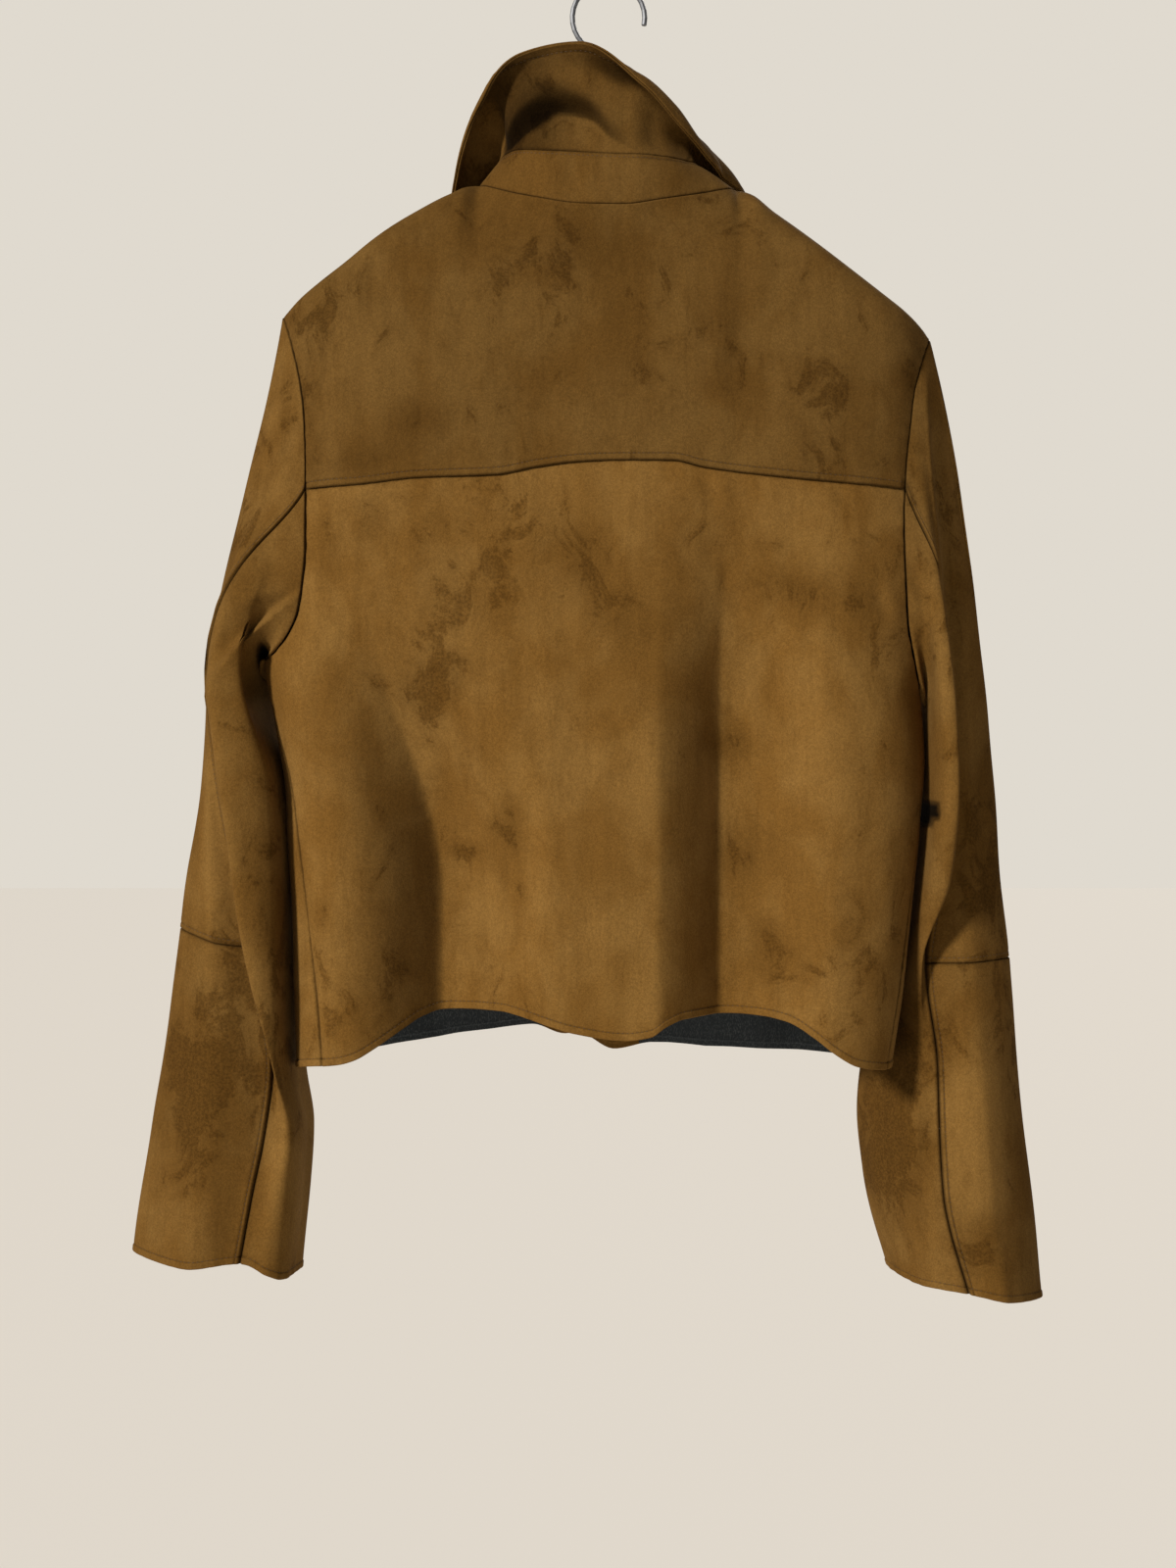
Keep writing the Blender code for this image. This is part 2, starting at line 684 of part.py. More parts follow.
def edge_cells(panel):
    rows, columns = panel["points"].shape[:2]
    picks = {
        "first_row": [(0, j) for j in range(columns)],
        "last_row": [(rows - 1, j) for j in range(columns)],
        "first_column": [(i, 0) for i in range(rows)],
        "last_column": [(i, columns - 1) for i in range(rows)],
    }
    cells = sorted({cell for name in panel["seams"] for cell in picks[name]})
    return tuple(np.array(cells).T) if cells else None


def share_seam_directions():
    """Where two pieces are sewn together, both walls end on the same plane."""
    edges = {}
    for name, panel in PANELS.items():
        cells = edge_cells(panel)
        if cells is not None and panel["like"] is None:
            edges[name] = (cells, panel["points"][cells], panel["normals"][cells].copy())
    for name, (cells, points, normals) in edges.items():
        total = normals.copy()
        for other, (_, far_points, far_normals) in edges.items():
            if other != name:
                gaps = np.linalg.norm(points[:, None] - far_points[None], axis=-1)
                nearest = gaps.argmin(axis=1)
                agree = (far_normals[nearest] * normals).sum(axis=-1) > -0.4
                close = gaps.min(axis=1) < SEAM_REACH
                total = total + np.where((close & agree)[:, None], far_normals[nearest], 0)
        PANELS[name]["normals"][cells] = unit(total)
    for panel in PANELS.values():
        if panel["like"] is not None:
            panel["normals"] = PANELS[panel["like"]]["normals"][panel["cells"]]


def wall_mesh(name, panel):
    """One closed wall: outer points, the same points moved in, and a rim round the edge."""
    points = panel["points"]
    rows, columns = points.shape[:2]
    outer = points - panel["normals"] * panel["start"]
    inner = outer - panel["normals"] * panel["wall"]
    vertices = np.concatenate([outer.reshape(-1, 3), inner.reshape(-1, 3)]) * MM
    count = rows * columns
    index = np.arange(count).reshape(rows, columns)
    a, b, c, d = index[:-1, :-1], index[:-1, 1:], index[1:, 1:], index[1:, :-1]
    halves = np.concatenate([np.stack([a, b, c], axis=-1), np.stack([a, c, d], axis=-1)]).reshape(-1, 3)
    round_edge = np.concatenate([index[0, :], index[1:, -1], index[-1, -2::-1], index[-2:0:-1, 0]])
    after = np.roll(round_edge, -1)
    rim = [[after, round_edge, round_edge + count], [after, round_edge + count, after + count]]
    rim = np.concatenate([np.stack(half, axis=-1) for half in rim])
    faces = np.concatenate([halves, halves[:, ::-1] + count, rim])
    if panel["flip"]:
        faces = faces[:, ::-1]
    mesh = bpy.data.meshes.new(name)
    mesh.from_pydata(vertices.tolist(), [], faces.tolist())
    return mesh


def material(name, colour, roughness, metallic=0.0):
    made = bpy.data.materials.new(name)
    made.use_nodes = True
    shader = made.node_tree.nodes["Principled BSDF"]
    shader.inputs["Base Color"].default_value = (*colour, 1.0)
    shader.inputs["Roughness"].default_value = roughness
    shader.inputs["Metallic"].default_value = metallic
    return made


def add_object(name, mesh, surface):
    made = bpy.data.objects.new(name, mesh)
    mesh.materials.append(surface)
    mesh.shade_smooth()
    mesh.set_sharp_from_angle(angle=math.radians(50))
    bpy.context.scene.collection.objects.link(made)
    return made


def front_columns(side):
    """Columns of a front from its side, closer there, to the facing's edge and the centre."""
    whole = abs(EDGES[side]["back_x"][0] - CENTRE_X[side])
    facing_from = 1 - FACING_WIDTH[side] / whole
    body = facing_from * np.linspace(0, 1, FRONT_COLUMNS + 1) ** 1.3
    facing = np.linspace(facing_from, 1, FACING_COLUMNS + 1)[1:]
    return np.concatenate([body, facing])


def body_panels():
    """Yoke and back, on columns that meet those of the fronts along the shoulders."""
    left_x, right_x = SHOULDER["x"][0], SHOULDER["x"][-1]
    neck_left, neck_right = NECK["x"][0], NECK["x"][-1]
    left = (mix(left_x, neck_left, front_columns("left")) - left_x) / (right_x - left_x)
    right = (mix(right_x, neck_right, front_columns("right"))[::-1] - left_x) / (right_x - left_x)
    turn = 0.5 - 0.5 * np.cos(math.pi * np.linspace(0, 1, NECK_COLUMNS + 1)[1:-1])
    u = np.concatenate([left, mix(left[-1], right[0], turn), right])
    yoke_z = height_where(u, lambda x: column(YOKE_SEAM, "z", x, "x"))
    top_z = height_where(u, lambda x: top_line(x)[0])
    hem_z = height_where(u, lambda x: column(BACK_HEM, "z", x, "x"))
    rising = 1 - (1 - np.linspace(0, 1, YOKE_ROWS + 1)) ** 2
    yoke = back_grid(u, yoke_z, top_z, rising)
    back = back_grid(u, hem_z, yoke_z, SIDE_SHARES)
    add_panel("back_yoke", yoke, ("first_row", "last_row", "first_column", "last_column"), CLOTH, SUEDE)
    add_panel("back_panel", back, ("last_row", "first_column", "last_column"), CLOTH, SUEDE)
    return yoke, back


def front_panels(side):
    """One front, and the facing and the lining that lie inside it."""
    high = mix(NECK_SHARE, 1, 1 - (1 - np.linspace(0, 1, NECK_ROWS + 1)[1:]) ** 2)
    v = np.concatenate([SIDE_SHARES * YOKE_SHARE, CHEST_SHARES, high])
    points = front_surface(side, front_columns(side)[None, :], v[:, None])
    flip = side == "left"
    name = f"front_{side}"
    add_panel(name, points, ("last_row", "first_column", "last_column"), CLOTH, SUEDE, flip)
    inside = CLOTH + SEAM_GAP
    everything = slice(None)
    facing = (everything, slice(FRONT_COLUMNS, None))
    facing_points = PANELS[name]["points"][facing]
    add_panel(f"facing_{side}", facing_points, ("first_column",), FACING, SUEDE, flip, inside, name, facing)
    lining = (slice(None, LINING_ROWS), slice(0, FRONT_COLUMNS + 1))
    lining_points = PANELS[name]["points"][lining]
    add_panel(f"lining_{side}", lining_points, ("last_column",), LINING, GREY, flip, inside, name, lining)
    return points


def finer(shares, points, spacing):
    """More shares between those of an edge, evenly along each of its straight cells."""
    out = [shares[0]]
    for i in range(len(shares) - 1):
        cells = max(1, math.ceil(np.linalg.norm(points[i + 1] - points[i]) / spacing))
        out += list(np.linspace(shares[i], shares[i + 1], cells + 1)[1:])
    return np.array(out)


def spread(points, ends):
    """Shares along a line of points, by length, between two end shares."""
    lengths = np.concatenate([[0], np.cumsum(np.linalg.norm(np.diff(points, axis=0), axis=1))])
    return mix(ends[0], ends[1], lengths / lengths[-1])


def collar_panels(yoke, fronts):
    """Stand, undercollar and top collar, on the neck edges of the yoke and the fronts."""
    first_neck_row = -(NECK_ROWS + 1)
    left = fronts["left"][first_neck_row:, -1]
    right = fronts["right"][first_neck_row:, -1][::-1]
    count = yoke.shape[1]
    side_columns = FRONT_COLUMNS + FACING_COLUMNS
    back = yoke[-1, side_columns : count - side_columns]
    neck = np.concatenate([left, back[1:-1], right])
    shares = np.concatenate(
        [
            spread(left, (0, NECK_SHARES[0])),
            spread(back, NECK_SHARES)[1:-1],
            spread(right, (NECK_SHARES[1], 1)),
        ]
    )
    line = (shares, neck)
    share = finer(shares, neck, FOOT_SPACING)
    up = np.linspace(0, 1, STAND_ROWS + 1)
    stand = stand_surface(share[None, :], up[:, None], line)
    add_panel("collar_stand", stand, ("first_row", "last_row"), STAND, SUEDE)
    along = np.linspace(0, 1, FALL_ROWS + 1)
    fall = fall_surface(share[None, :], along[:, None])
    add_panel("undercollar", fall, ("first_row",), COLLAR_LAYER, SUEDE)
    inside = COLLAR_LAYER + SEAM_GAP
    everything = (slice(None), slice(None))
    under = PANELS["undercollar"]["points"]
    add_panel("top_collar", under, (), COLLAR_LAYER, SUEDE, False, inside, "undercollar", everything)


def armhole_line(side, yoke, back, front):
    """The armhole as the body's own edge points, from the underarm by the back to the shoulder
    and down the front, with shares that keep the yoke seam and the shoulder point in place."""
    edge = 0 if side == "left" else -1
    first = UNDERARM_ROW[side]
    low = back[first:, edge]
    high = yoke[:, edge]
    down = front[first:, 0][::-1]
    seam, top = BACK_SEAM_SHARE[0], SHOULDER_SHARE
    shares = np.concatenate(
        [spread(low, (0, seam)), spread(high, (seam, top))[1:], spread(down, (top, 1))[1:]]
    )
    return shares, np.concatenate([low, high[1:], down[1:]])


def below_ring(step, elbow):
    """Levels from the first ring (step 1) to the elbow seam (1.5) and on to the cuff (2)."""
    return np.where(step <= 1.5, mix(1, elbow, (step - 1) * 2), mix(elbow, 2, (step - 1.5) * 2))


def sleeve_panels(side, line):
    """Upper sleeve, forearm and undersleeve."""
    flip = side == "right"
    shares = finer(*line, ARMHOLE_SPACING)
    in_front = shares[shares > FRONT_SEAM_SHARE] - 1
    behind = shares[(shares > 0) & (shares <= BACK_SEAM_SHARE[0])]
    under = np.concatenate([[FRONT_SEAM_SHARE - 1], in_front, behind])
    outer = shares[(shares >= BACK_SEAM_SHARE[0]) & (shares < FRONT_SEAM_SHARE)]
    outer = np.append(outer, FRONT_SEAM_SHARE)
    near = (under - under[0]) / (under[-1] - under[0])
    far = (outer - outer[0]) / (outer[-1] - outer[0])
    high = np.linspace(0, 1, ARM_ROWS_HIGH + 1) ** 1.15
    middle = np.linspace(1, 1.5, ARM_ROWS_MIDDLE + 1)
    low = np.concatenate([middle, np.linspace(1.5, 2, ARM_ROWS_LOW + 1)[1:]])
    ends = elbow_level(side, np.array([FRONT_SEAM_SHARE, BACK_SEAM_SHARE[1]]))
    elbow = mix(ends[0], ends[1], near)[None, :]
    level = np.concatenate([high, low[1:]])[:, None]
    level = np.where(level <= 1, level, below_ring(level, elbow))
    share = mix(FRONT_SEAM_SHARE - 1, back_seam(level), near[None, :])
    points = sleeve_surface(side, share, level, line)
    seams = ("first_row", "first_column", "last_column")
    add_panel(f"undersleeve_{side}", points, seams, CLOTH, SUEDE, flip)
    seam_share = mix(BACK_SEAM_SHARE[1], FRONT_SEAM_SHARE, far)
    elbow = elbow_level(side, seam_share)[None, :]
    upper_level = np.concatenate([high, np.linspace(1, 2, ARM_ROWS_MIDDLE + 1)[1:]])[:, None]
    upper_level = np.where(upper_level <= 1, upper_level, 1 + (upper_level - 1) * (elbow - 1))
    share = mix(back_seam(upper_level), FRONT_SEAM_SHARE, far[None, :])
    points = sleeve_surface(side, share, upper_level, line)
    seams = ("first_row", "last_row", "first_column", "last_column")
    add_panel(f"sleeve_{side}", points, seams, CLOTH, SUEDE, flip)
    lower_level = mix(elbow, 2.0, np.linspace(0, 1, ARM_ROWS_LOW + 1)[:, None])
    share = mix(back_seam(lower_level), FRONT_SEAM_SHARE, far[None, :])
    points = sleeve_surface(side, share, lower_level, line)
    seams = ("first_row", "first_column", "last_column")
    add_panel(f"forearm_{side}", points, seams, CLOTH, SUEDE, flip)


def tube(name, points, radius_across, radius_up, sides):
    """A closed bar swept along points that lie in the hanger's plane."""
    points = np.array(points, float)
    along = unit(np.gradient(points, axis=0))
    across = np.array([0.0, 1.0, 0.0])
    up = unit(np.cross(along, across))
    angle = np.linspace(0, 2 * math.pi, sides, endpoint=False)
    ring = np.cos(angle)[None, :, None] * across * radius_across
    ring = ring + np.sin(angle)[None, :, None] * up[:, None, :] * radius_up
    vertices = (points[:, None, :] + ring).reshape(-1, 3) * MM
    count = len(points)
    faces = [tuple(range(sides))[::-1], tuple((count - 1) * sides + j for j in range(sides))]
    for i in range(count - 1):
        for j in range(sides):
            k = (j + 1) % sides
            faces.append((i * sides + j, i * sides + k, (i + 1) * sides + k, (i + 1) * sides + j))
    mesh = bpy.data.meshes.new(name)
    mesh.from_pydata(vertices.tolist(), [], faces)
    return mesh


def bar_line():
    """Centre line of the hanger's bar, just under the shoulders and rising inside the neck."""
    x = np.linspace(BAR_END_X["left"], BAR_END_X["right"], BAR_STATIONS)
    under_cloth = column(SHOULDER, "z", x, "x") - CLOTH - BAR_PLAY
    top = np.where(np.abs(x) < BAR_TOP["x"][-1], column(BAR_TOP, "z", x, "x"), under_cloth)
    slope = np.gradient(top, x)
    drop = BAR_HALF_HIGH * np.sqrt(1 + slope**2)
    return np.stack([x, np.zeros(x.shape), top - drop], axis=-1)


def hook_line(bar_top):
    """Centre line of the hook: the tip, over the top, and down to the bar."""
    centre_z = HOOK_WIRE / 2 - HOOK_RADIUS
    turn = np.radians(np.linspace(HOOK_TURN[0], HOOK_TURN[1], 22))
    circle = np.stack([np.cos(turn) * HOOK_RADIUS, 0 * turn, centre_z + np.sin(turn) * HOOK_RADIUS], axis=-1)
    end = circle[-1]
    neck_z = end[2] - HOOK_NECK
    t = np.linspace(0, 1, 8)[1:, None]
    leave = np.array([-np.sin(turn[-1]), 0, np.cos(turn[-1])])
    goal = np.array([0, 0, neck_z])
    reach = np.linalg.norm(goal - end)
    bend = (
        (1 + 2 * t) * (1 - t) ** 2 * end
        + t * (1 - t) ** 2 * reach * leave
        + t * t * (3 - 2 * t) * goal
        + t * t * (1 - t) * reach * np.array([0, 0, 1.0])
    )
    stem = np.array([[0, 0, z] for z in np.linspace(neck_z, bar_top + SEAM_GAP, 4)[1:]])
    return np.concatenate([circle, bend, stem])


def hanger():
    line = bar_line()
    bar = tube("hanger_bar", line, BAR_HALF_DEEP, BAR_HALF_HIGH, BAR_SIDES)
    add_object("hanger_bar", bar, material("hanger_bar", BAR_BLACK, 0.45))
    middle = line[np.abs(line[:, 0]).argmin()]
    hook = tube("hanger_hook", hook_line(middle[2] + BAR_HALF_HIGH), HOOK_WIRE / 2, HOOK_WIRE / 2, HOOK_SIDES)
    add_object("hanger_hook", hook, material("hanger_hook", CHROME, 0.15, 1.0))


def main():
    for item in list(bpy.data.objects):
        bpy.data.objects.remove(item, do_unlink=True)
    yoke, back = body_panels()
    fronts = {side: front_panels(side) for side in SIDES}
    collar_panels(yoke, fronts)
    for side in SIDES:
        sleeve_panels(side, armhole_line(side, yoke, back, fronts[side]))
    share_seam_directions()
    for name, panel in PANELS.items():
        add_object(name, wall_mesh(name, panel), material(name, panel["colour"], 0.9))
    hanger()


main()
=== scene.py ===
import math

import bpy
import numpy as np
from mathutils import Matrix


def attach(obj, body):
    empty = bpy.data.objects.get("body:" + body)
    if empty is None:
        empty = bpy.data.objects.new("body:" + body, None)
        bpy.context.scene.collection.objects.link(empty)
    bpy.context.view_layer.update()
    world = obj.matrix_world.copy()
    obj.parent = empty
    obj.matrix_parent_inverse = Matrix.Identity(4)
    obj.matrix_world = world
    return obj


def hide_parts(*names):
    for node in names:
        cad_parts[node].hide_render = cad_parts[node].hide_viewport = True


# A cropped faux suede jacket, seen from its back, on a hanger. Lengths in the tables are in
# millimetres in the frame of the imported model; meshes are made in metres.

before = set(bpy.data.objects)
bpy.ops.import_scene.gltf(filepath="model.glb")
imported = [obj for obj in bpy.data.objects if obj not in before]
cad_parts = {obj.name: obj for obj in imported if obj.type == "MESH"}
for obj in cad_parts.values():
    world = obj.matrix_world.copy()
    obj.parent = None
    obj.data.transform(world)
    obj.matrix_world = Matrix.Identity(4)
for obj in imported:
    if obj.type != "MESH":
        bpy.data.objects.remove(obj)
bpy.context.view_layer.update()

mm = 0.001
sides = {"left": -1.0, "right": 1.0}

cloth = {
    "outer": 1.6,
    "lining": 1.0,
    "facing": 1.2,
    "collar": 1.2,
    "stand": 2.2,
    "between": 0.3,
    "rimRounds": 3,
}


def table(columns, *rows):
    # one array for each named column
    return dict(zip(columns.split(), np.array(rows, float).T))


# smooth curves through short tables


def slopesOf(at, values):
    # harmonic mean of the slopes on both sides of a row, or none where they change sign
    step = np.diff(at)
    rise = np.diff(values) / step
    inner = np.zeros(len(values))
    same = rise[:-1] * rise[1:] > 0
    weightA = 2 * step[1:] + step[:-1]
    weightB = step[1:] + 2 * step[:-1]
    with np.errstate(divide="ignore", invalid="ignore"):
        middle = (weightA + weightB) / (weightA / rise[:-1] + weightB / rise[1:])
    inner[1:-1] = np.where(same, middle, 0.0)
    inner[0] = rise[0]
    inner[-1] = rise[-1]
    return inner


def cubic(a, slopeA, b, slopeB, t):
    # the cubic from a to b that leaves and arrives with the given slopes, as t goes from 0 to 1
    return (
        (1 + 2 * t) * (1 - t) ** 2 * a
        + t * (1 - t) ** 2 * slopeA
        + t * t * (3 - 2 * t) * b
        - t * t * (1 - t) * slopeB
    )


def through(at, values, where):
    # cubic between each two rows, with the slopes above
    where = np.clip(np.asarray(where, float), at[0], at[-1])
    slope = slopesOf(at, values)
    cell = np.clip(np.searchsorted(at, where, side="right") - 1, 0, len(at) - 2)
    span = at[cell + 1] - at[cell]
    t = (where - at[cell]) / span
    return cubic(values[cell], span * slope[cell], values[cell + 1], span * slope[cell + 1], t)


def column(rows, name, where, key="z"):
    # a named column of a table, read at any value of its key column
    return through(rows[key], rows[name], where)


def ease(t):
    # 0 to 1 with level ends: 3t^2 - 2t^3
    t = np.clip(t, 0.0, 1.0)
    return t * t * (3 - 2 * t)


def mix(a, b, t):
    # in a straight line from a to b
    return a + (b - a) * t


def plateau(value, start, full, still, end):
    # eases from 0 at the start to 1, stays, and eases back to 0 at the end
    return ease((value - start) / (full - start)) * ease((end - value) / (end - still))


def unit(vectors):
    # each vector divided by its length
    length = np.linalg.norm(vectors, axis=-1, keepdims=True)
    return vectors / np.maximum(length, 1e-9)


def runLength(points, axis):
    # length along the grid lines of one axis, from 0 at their start
    step = np.linalg.norm(np.diff(points, axis=axis), axis=-1)
    total = np.cumsum(step, axis=axis)
    first = np.zeros_like(np.take(total, [0], axis=axis))
    return np.concatenate([first, total], axis=axis)


def closeAtEnds(length, step, rim=(0.0, 0.25, 0.6, 1.1, 1.8, 2.6, 3.1, 3.6, 4.1, 4.6, 5.6)):
    # shares from 0 to 1 along a length: close together at both ends, where the seams roll in
    rim = np.array(rim)
    count = max(2, int(round((length - 2 * rim[-1]) / step)))
    middle = np.linspace(rim[-1], length - rim[-1], count + 1)[1:-1]
    return np.concatenate([rim, middle, length - rim[::-1]]) / length


def spacedShares(line, shares, step):
    # shares at which a line of points is divided as above by its length
    run = runLength(line, 0)
    return np.interp(closeAtEnds(run[-1], step) * run[-1], run, shares)


# the jacket's body

# the yoke's and the neck's shares run from a front's hem to its shoulder; turns, swell and waves
# are shares across a panel; the rounds are the share of the hang that is lost at its side
body = {
    "yokeZ": -339.0,
    "hemZ": {"left": -713.0, "right": -717.0},
    "underarmZ": {"left": -451.0, "right": -474.0},
    "neckFrontZ": -205.0,
    "chestZ": -290.0,
    "yokeShare": 0.70,
    "neckShare": 0.80,
    "centreX": {"left": -17.5, "right": -14.5},
    "facingWidth": {"left": 26.0, "right": 34.0},
    "backTurn": 0.045,
    "backRound": 0.22,
    "frontTurn": (0.055, 0.19),
    "frontRound": 0.12,
    "wrapTurn": 0.10,
    "wrapHeight": 130.0,
    "swellAt": 0.07,
    "wavesFrom": 0.3,
    "fallPower": 1.35,
    "searchFrom": -340.0,
    "searches": 6,
    "armholeThird": 0.33,
}
# the shoulder ridge: how far below it the cloth turns down, more so towards the neck
ridge = {
    "reach": 7.0,
    "reachMore": 15.0,
    "moreFrom": 150.0,
    "moreOver": 90.0,
    "neckFrom": 98.0,
    "neckOver": 14.0,
    "neckReach": 20.0,
    "tipReach": 6.0,
    "tipOut": 0.6,
    "tipUp": 0.8,
}

# the body's two edges: the side seam up to the underarm, then the armhole's back and front halves
edgeLines = {
    "left": table(
        "z back_x back_y front_x front_y",
        (-717, -186, -25, -186, -25),
        (-668, -190, -25, -190, -25),
        (-632, -194, -24, -194, -24),
        (-599, -198, -22, -198, -22),
        (-571, -202, -20, -202, -20),
        (-529, -208, -16, -208, -16),
        (-490, -219, -9, -219, -9),
        (-451, -228, -2, -228, -2),
        (-443, -218, -13, -220, 10),
        (-431, -208, -20, -211, 18),
        (-418, -202, -24, -206, 23),
        (-402, -199, -27, -203, 27),
        (-378, -196.5, -29, -201, 30),
        (-321, -197, -25, -201, 28),
        (-291, -198.5, -22, -202, 24),
        (-267, -202, -18, -204, 19),
        (-242, -208.5, -12, -209, 12),
        (-221, -216, 0, -216, 0),
    ),
    "right": table(
        "z back_x back_y front_x front_y",
        (-717, 182, -14, 182, -14),
        (-693, 186, -14, 186, -14),
        (-670, 190, -13, 190, -13),
        (-633, 195, -12, 195, -12),
        (-600, 199, -11, 199, -11),
        (-560, 204, -9, 204, -9),
        (-510, 208.5, -5, 208.5, -5),
        (-474, 207, -1, 207, -1),
        (-462, 203, -11, 204, 9),
        (-448, 199, -18, 202, 16),
        (-426, 194, -25, 199, 23),
        (-395, 192, -29, 197, 28),
        (-364, 191, -29, 196, 30),
        (-325, 193, -25, 196, 28),
        (-294, 197, -21, 198, 24),
        (-273, 200, -17, 201, 19),
        (-253, 206, -11, 206, 12),
        (-236, 213, 0, 213, 0),
    ),
}

shoulderLine = table(
    "x z",
    (-216, -221),
    (-205, -211.5),
    (-192, -202),
    (-172, -187.5),
    (-154, -173),
    (-128, -155),
    (-105, -141.5),
    (-86, -134),
    (85, -137),
    (110, -155),
    (150, -186),
    (180, -208.5),
    (196, -220),
    (206, -228.5),
    (213, -236),
)

neckSeam = table(
    "x y z",
    (-86, 0, -134),
    (-80, -15, -139),
    (-63, -30, -148),
    (-46, -38, -154),
    (-19, -43, -159.5),
    (9, -43, -160),
    (35, -38, -155),
    (61, -27, -147.5),
    (79, -13, -140),
    (85, 0, -137),
)

yokeSeam = table(
    "x z",
    (-197, -339),
    (-163, -338),
    (-123, -334.5),
    (-72, -333),
    (-47, -328.5),
    (-19, -325),
    (10, -324),
    (39, -324),
    (61, -328.5),
    (110, -334),
    (150, -337),
    (193, -339),
)

backHem = table(
    "x z",
    (-186, -713),
    (-172, -710.5),
    (-164, -708),
    (-150, -700),
    (-135, -690),
    (-122, -682),
    (-108, -678),
    (-70, -677),
    (-57, -679),
    (-42, -683),
    (-20, -689),
    (10, -693),
    (26, -691),
    (36, -685),
    (48, -681),
    (77, -680),
    (100, -681),
    (116, -684),
    (130, -692),
    (146, -704),
    (160, -712),
    (182, -717),
)

frontHem = {
    "left": table(
        "x z",
        (-186, -713),
        (-178, -717),
        (-160, -715),
        (-125, -710),
        (-93, -704),
        (-50, -701),
        (-29, -708),
        (-17.5, -706),
    ),
    "right": table("x z", (-14.5, -709), (3, -719), (28, -714), (69, -714), (117, -716), (182, -717)),
}

# each front's neck edge, from the throat to the shoulder
neckLines = {
    "left": table("z x", (-205, -17.5), (-198, -34), (-186, -52), (-168, -69), (-150, -81), (-134, -86)),
    "right": table("z x", (-205, -14.5), (-198, 8), (-186, 34), (-168, 58), (-150, 76), (-137, 85)),
}

# how far the back and the fronts stand off the hanger's plane
hang = table(
    "z back front",
    (-717, 50, 92),
    (-600, 50, 88),
    (-450, 50, 80),
    (-340, 50, 68),
    (-260, 46, 56),
    (-200, 42, 44),
    (-134, 34, 26),
)

# how far each front swells out beside its side seam
sideSwell = table(
    "z left right", (-717, 25, 9), (-660, 21, 7), (-600, 16, 6), (-520, 9, 4), (-451, 0, 0), (-410, 0, 0)
)

# the long hollows: depth, where each falls and rises again, how far its top is shifted, and the
# heights at which it starts and is full
backFlutes = table(
    "depth fall_from fall_to rise_from rise_to top_shift top_z full_z",
    (40, -182, -112, -106, -30, -45, -400, -600),
    (36, 30, 71, 78, 150, 3, -318, -540),
)
frontFlutes = table(
    "depth fall_from fall_to rise_from rise_to top_shift top_z full_z",
    (14, -150, -120, -90, -50, -8, -380, -690),
    (16, 42, 70, 100, 140, 6, -360, -690),
)


def fluteAt(rows, i, x, z):
    # one flute's growth at a height, the place across it, and the share of its fall there
    grown = ease((rows["top_z"][i] - z) / (rows["top_z"][i] - rows["full_z"][i]))
    at = x - rows["top_shift"][i] * (1 - grown)
    return grown, at, (at - rows["fall_from"][i]) / (rows["fall_to"][i] - rows["fall_from"][i])


def flutesAt(rows, x, z):
    # each flute: depth, growing down from its top; it falls ever steeper to its crease, a share to
    # the fall's power, and comes forward again softly
    total = np.zeros(np.broadcast(x, z).shape)
    for i in range(len(rows["depth"])):
        grown, at, fall = fluteAt(rows, i, x, z)
        falls = np.clip(fall, 0, 1) ** body["fallPower"]
        rises = ease((at - rows["rise_from"][i]) / (rows["rise_to"][i] - rows["rise_from"][i]))
        total = total + rows["depth"][i] * grown * falls * (1 - rises)
    return total


def meetRidge(fade, nearEdge):
    # how far a point is drawn to the ridge: the fade, or its square near an armhole
    return mix(fade, fade**2, nearEdge)


def ridgeFade(x, below):
    # 1 on the shoulder ridge, falling below it as a quarter round, softer over the neck
    reach = ridge["reach"] + ridge["reachMore"] * ease((ridge["moreFrom"] - np.abs(x)) / ridge["moreOver"])
    overNeck = ease((ridge["neckFrom"] - np.abs(x)) / ridge["neckOver"])
    roundNose = 1 - np.sqrt(1 - np.exp(-np.maximum(below, 0) / reach))
    soft = np.exp(-np.maximum(below, 0) / ridge["neckReach"])
    return mix(roundNose, soft, overNeck)


def topLine(x):
    # height and depth of the body's top edge: the neck seam, with the shoulder line beside it
    inNeck = (x > neckSeam["x"][0]) & (x < neckSeam["x"][-1])
    z = np.where(inNeck, column(neckSeam, "z", x, "x"), column(shoulderLine, "z", x, "x"))
    y = np.where(inNeck, column(neckSeam, "y", x, "x"), 0.0)
    return z, y


def backSurface(u, z):
    # x from edge to edge, y the hang plus the flutes, meeting the side edges and the top line
    leftX = column(edgeLines["left"], "back_x", z)
    rightX = column(edgeLines["right"], "back_x", z)
    x = mix(leftX, rightX, u)
    edgeY = np.where(
        u < 0.5, column(edgeLines["left"], "back_y", z), column(edgeLines["right"], "back_y", z)
    )
    nearEdge = np.exp(-np.minimum(u, 1 - u) / body["backTurn"])
    y = -column(hang, "back", z) * (1 - body["backRound"] * (2 * u - 1) ** 2)
    y = y + flutesAt(backFlutes, x, z)
    y = mix(y, edgeY, nearEdge)
    topZ, topY = topLine(x)
    y = mix(y, topY, meetRidge(ridgeFade(x, topZ - z), nearEdge))
    return np.stack(np.broadcast_arrays(x, y, z), axis=-1)


def edgeX(z, u):
    # a share of the way between the back's two edges
    return mix(column(edgeLines["left"], "back_x", z), column(edgeLines["right"], "back_x", z), u)


def heightWhere(u, line):
    # the height at which a column of the back meets a line, found by stepping to it
    z = line(edgeX(np.full(u.shape, body["searchFrom"]), u))
    for _ in range(body["searches"]):
        z = line(edgeX(z, u))
    return z


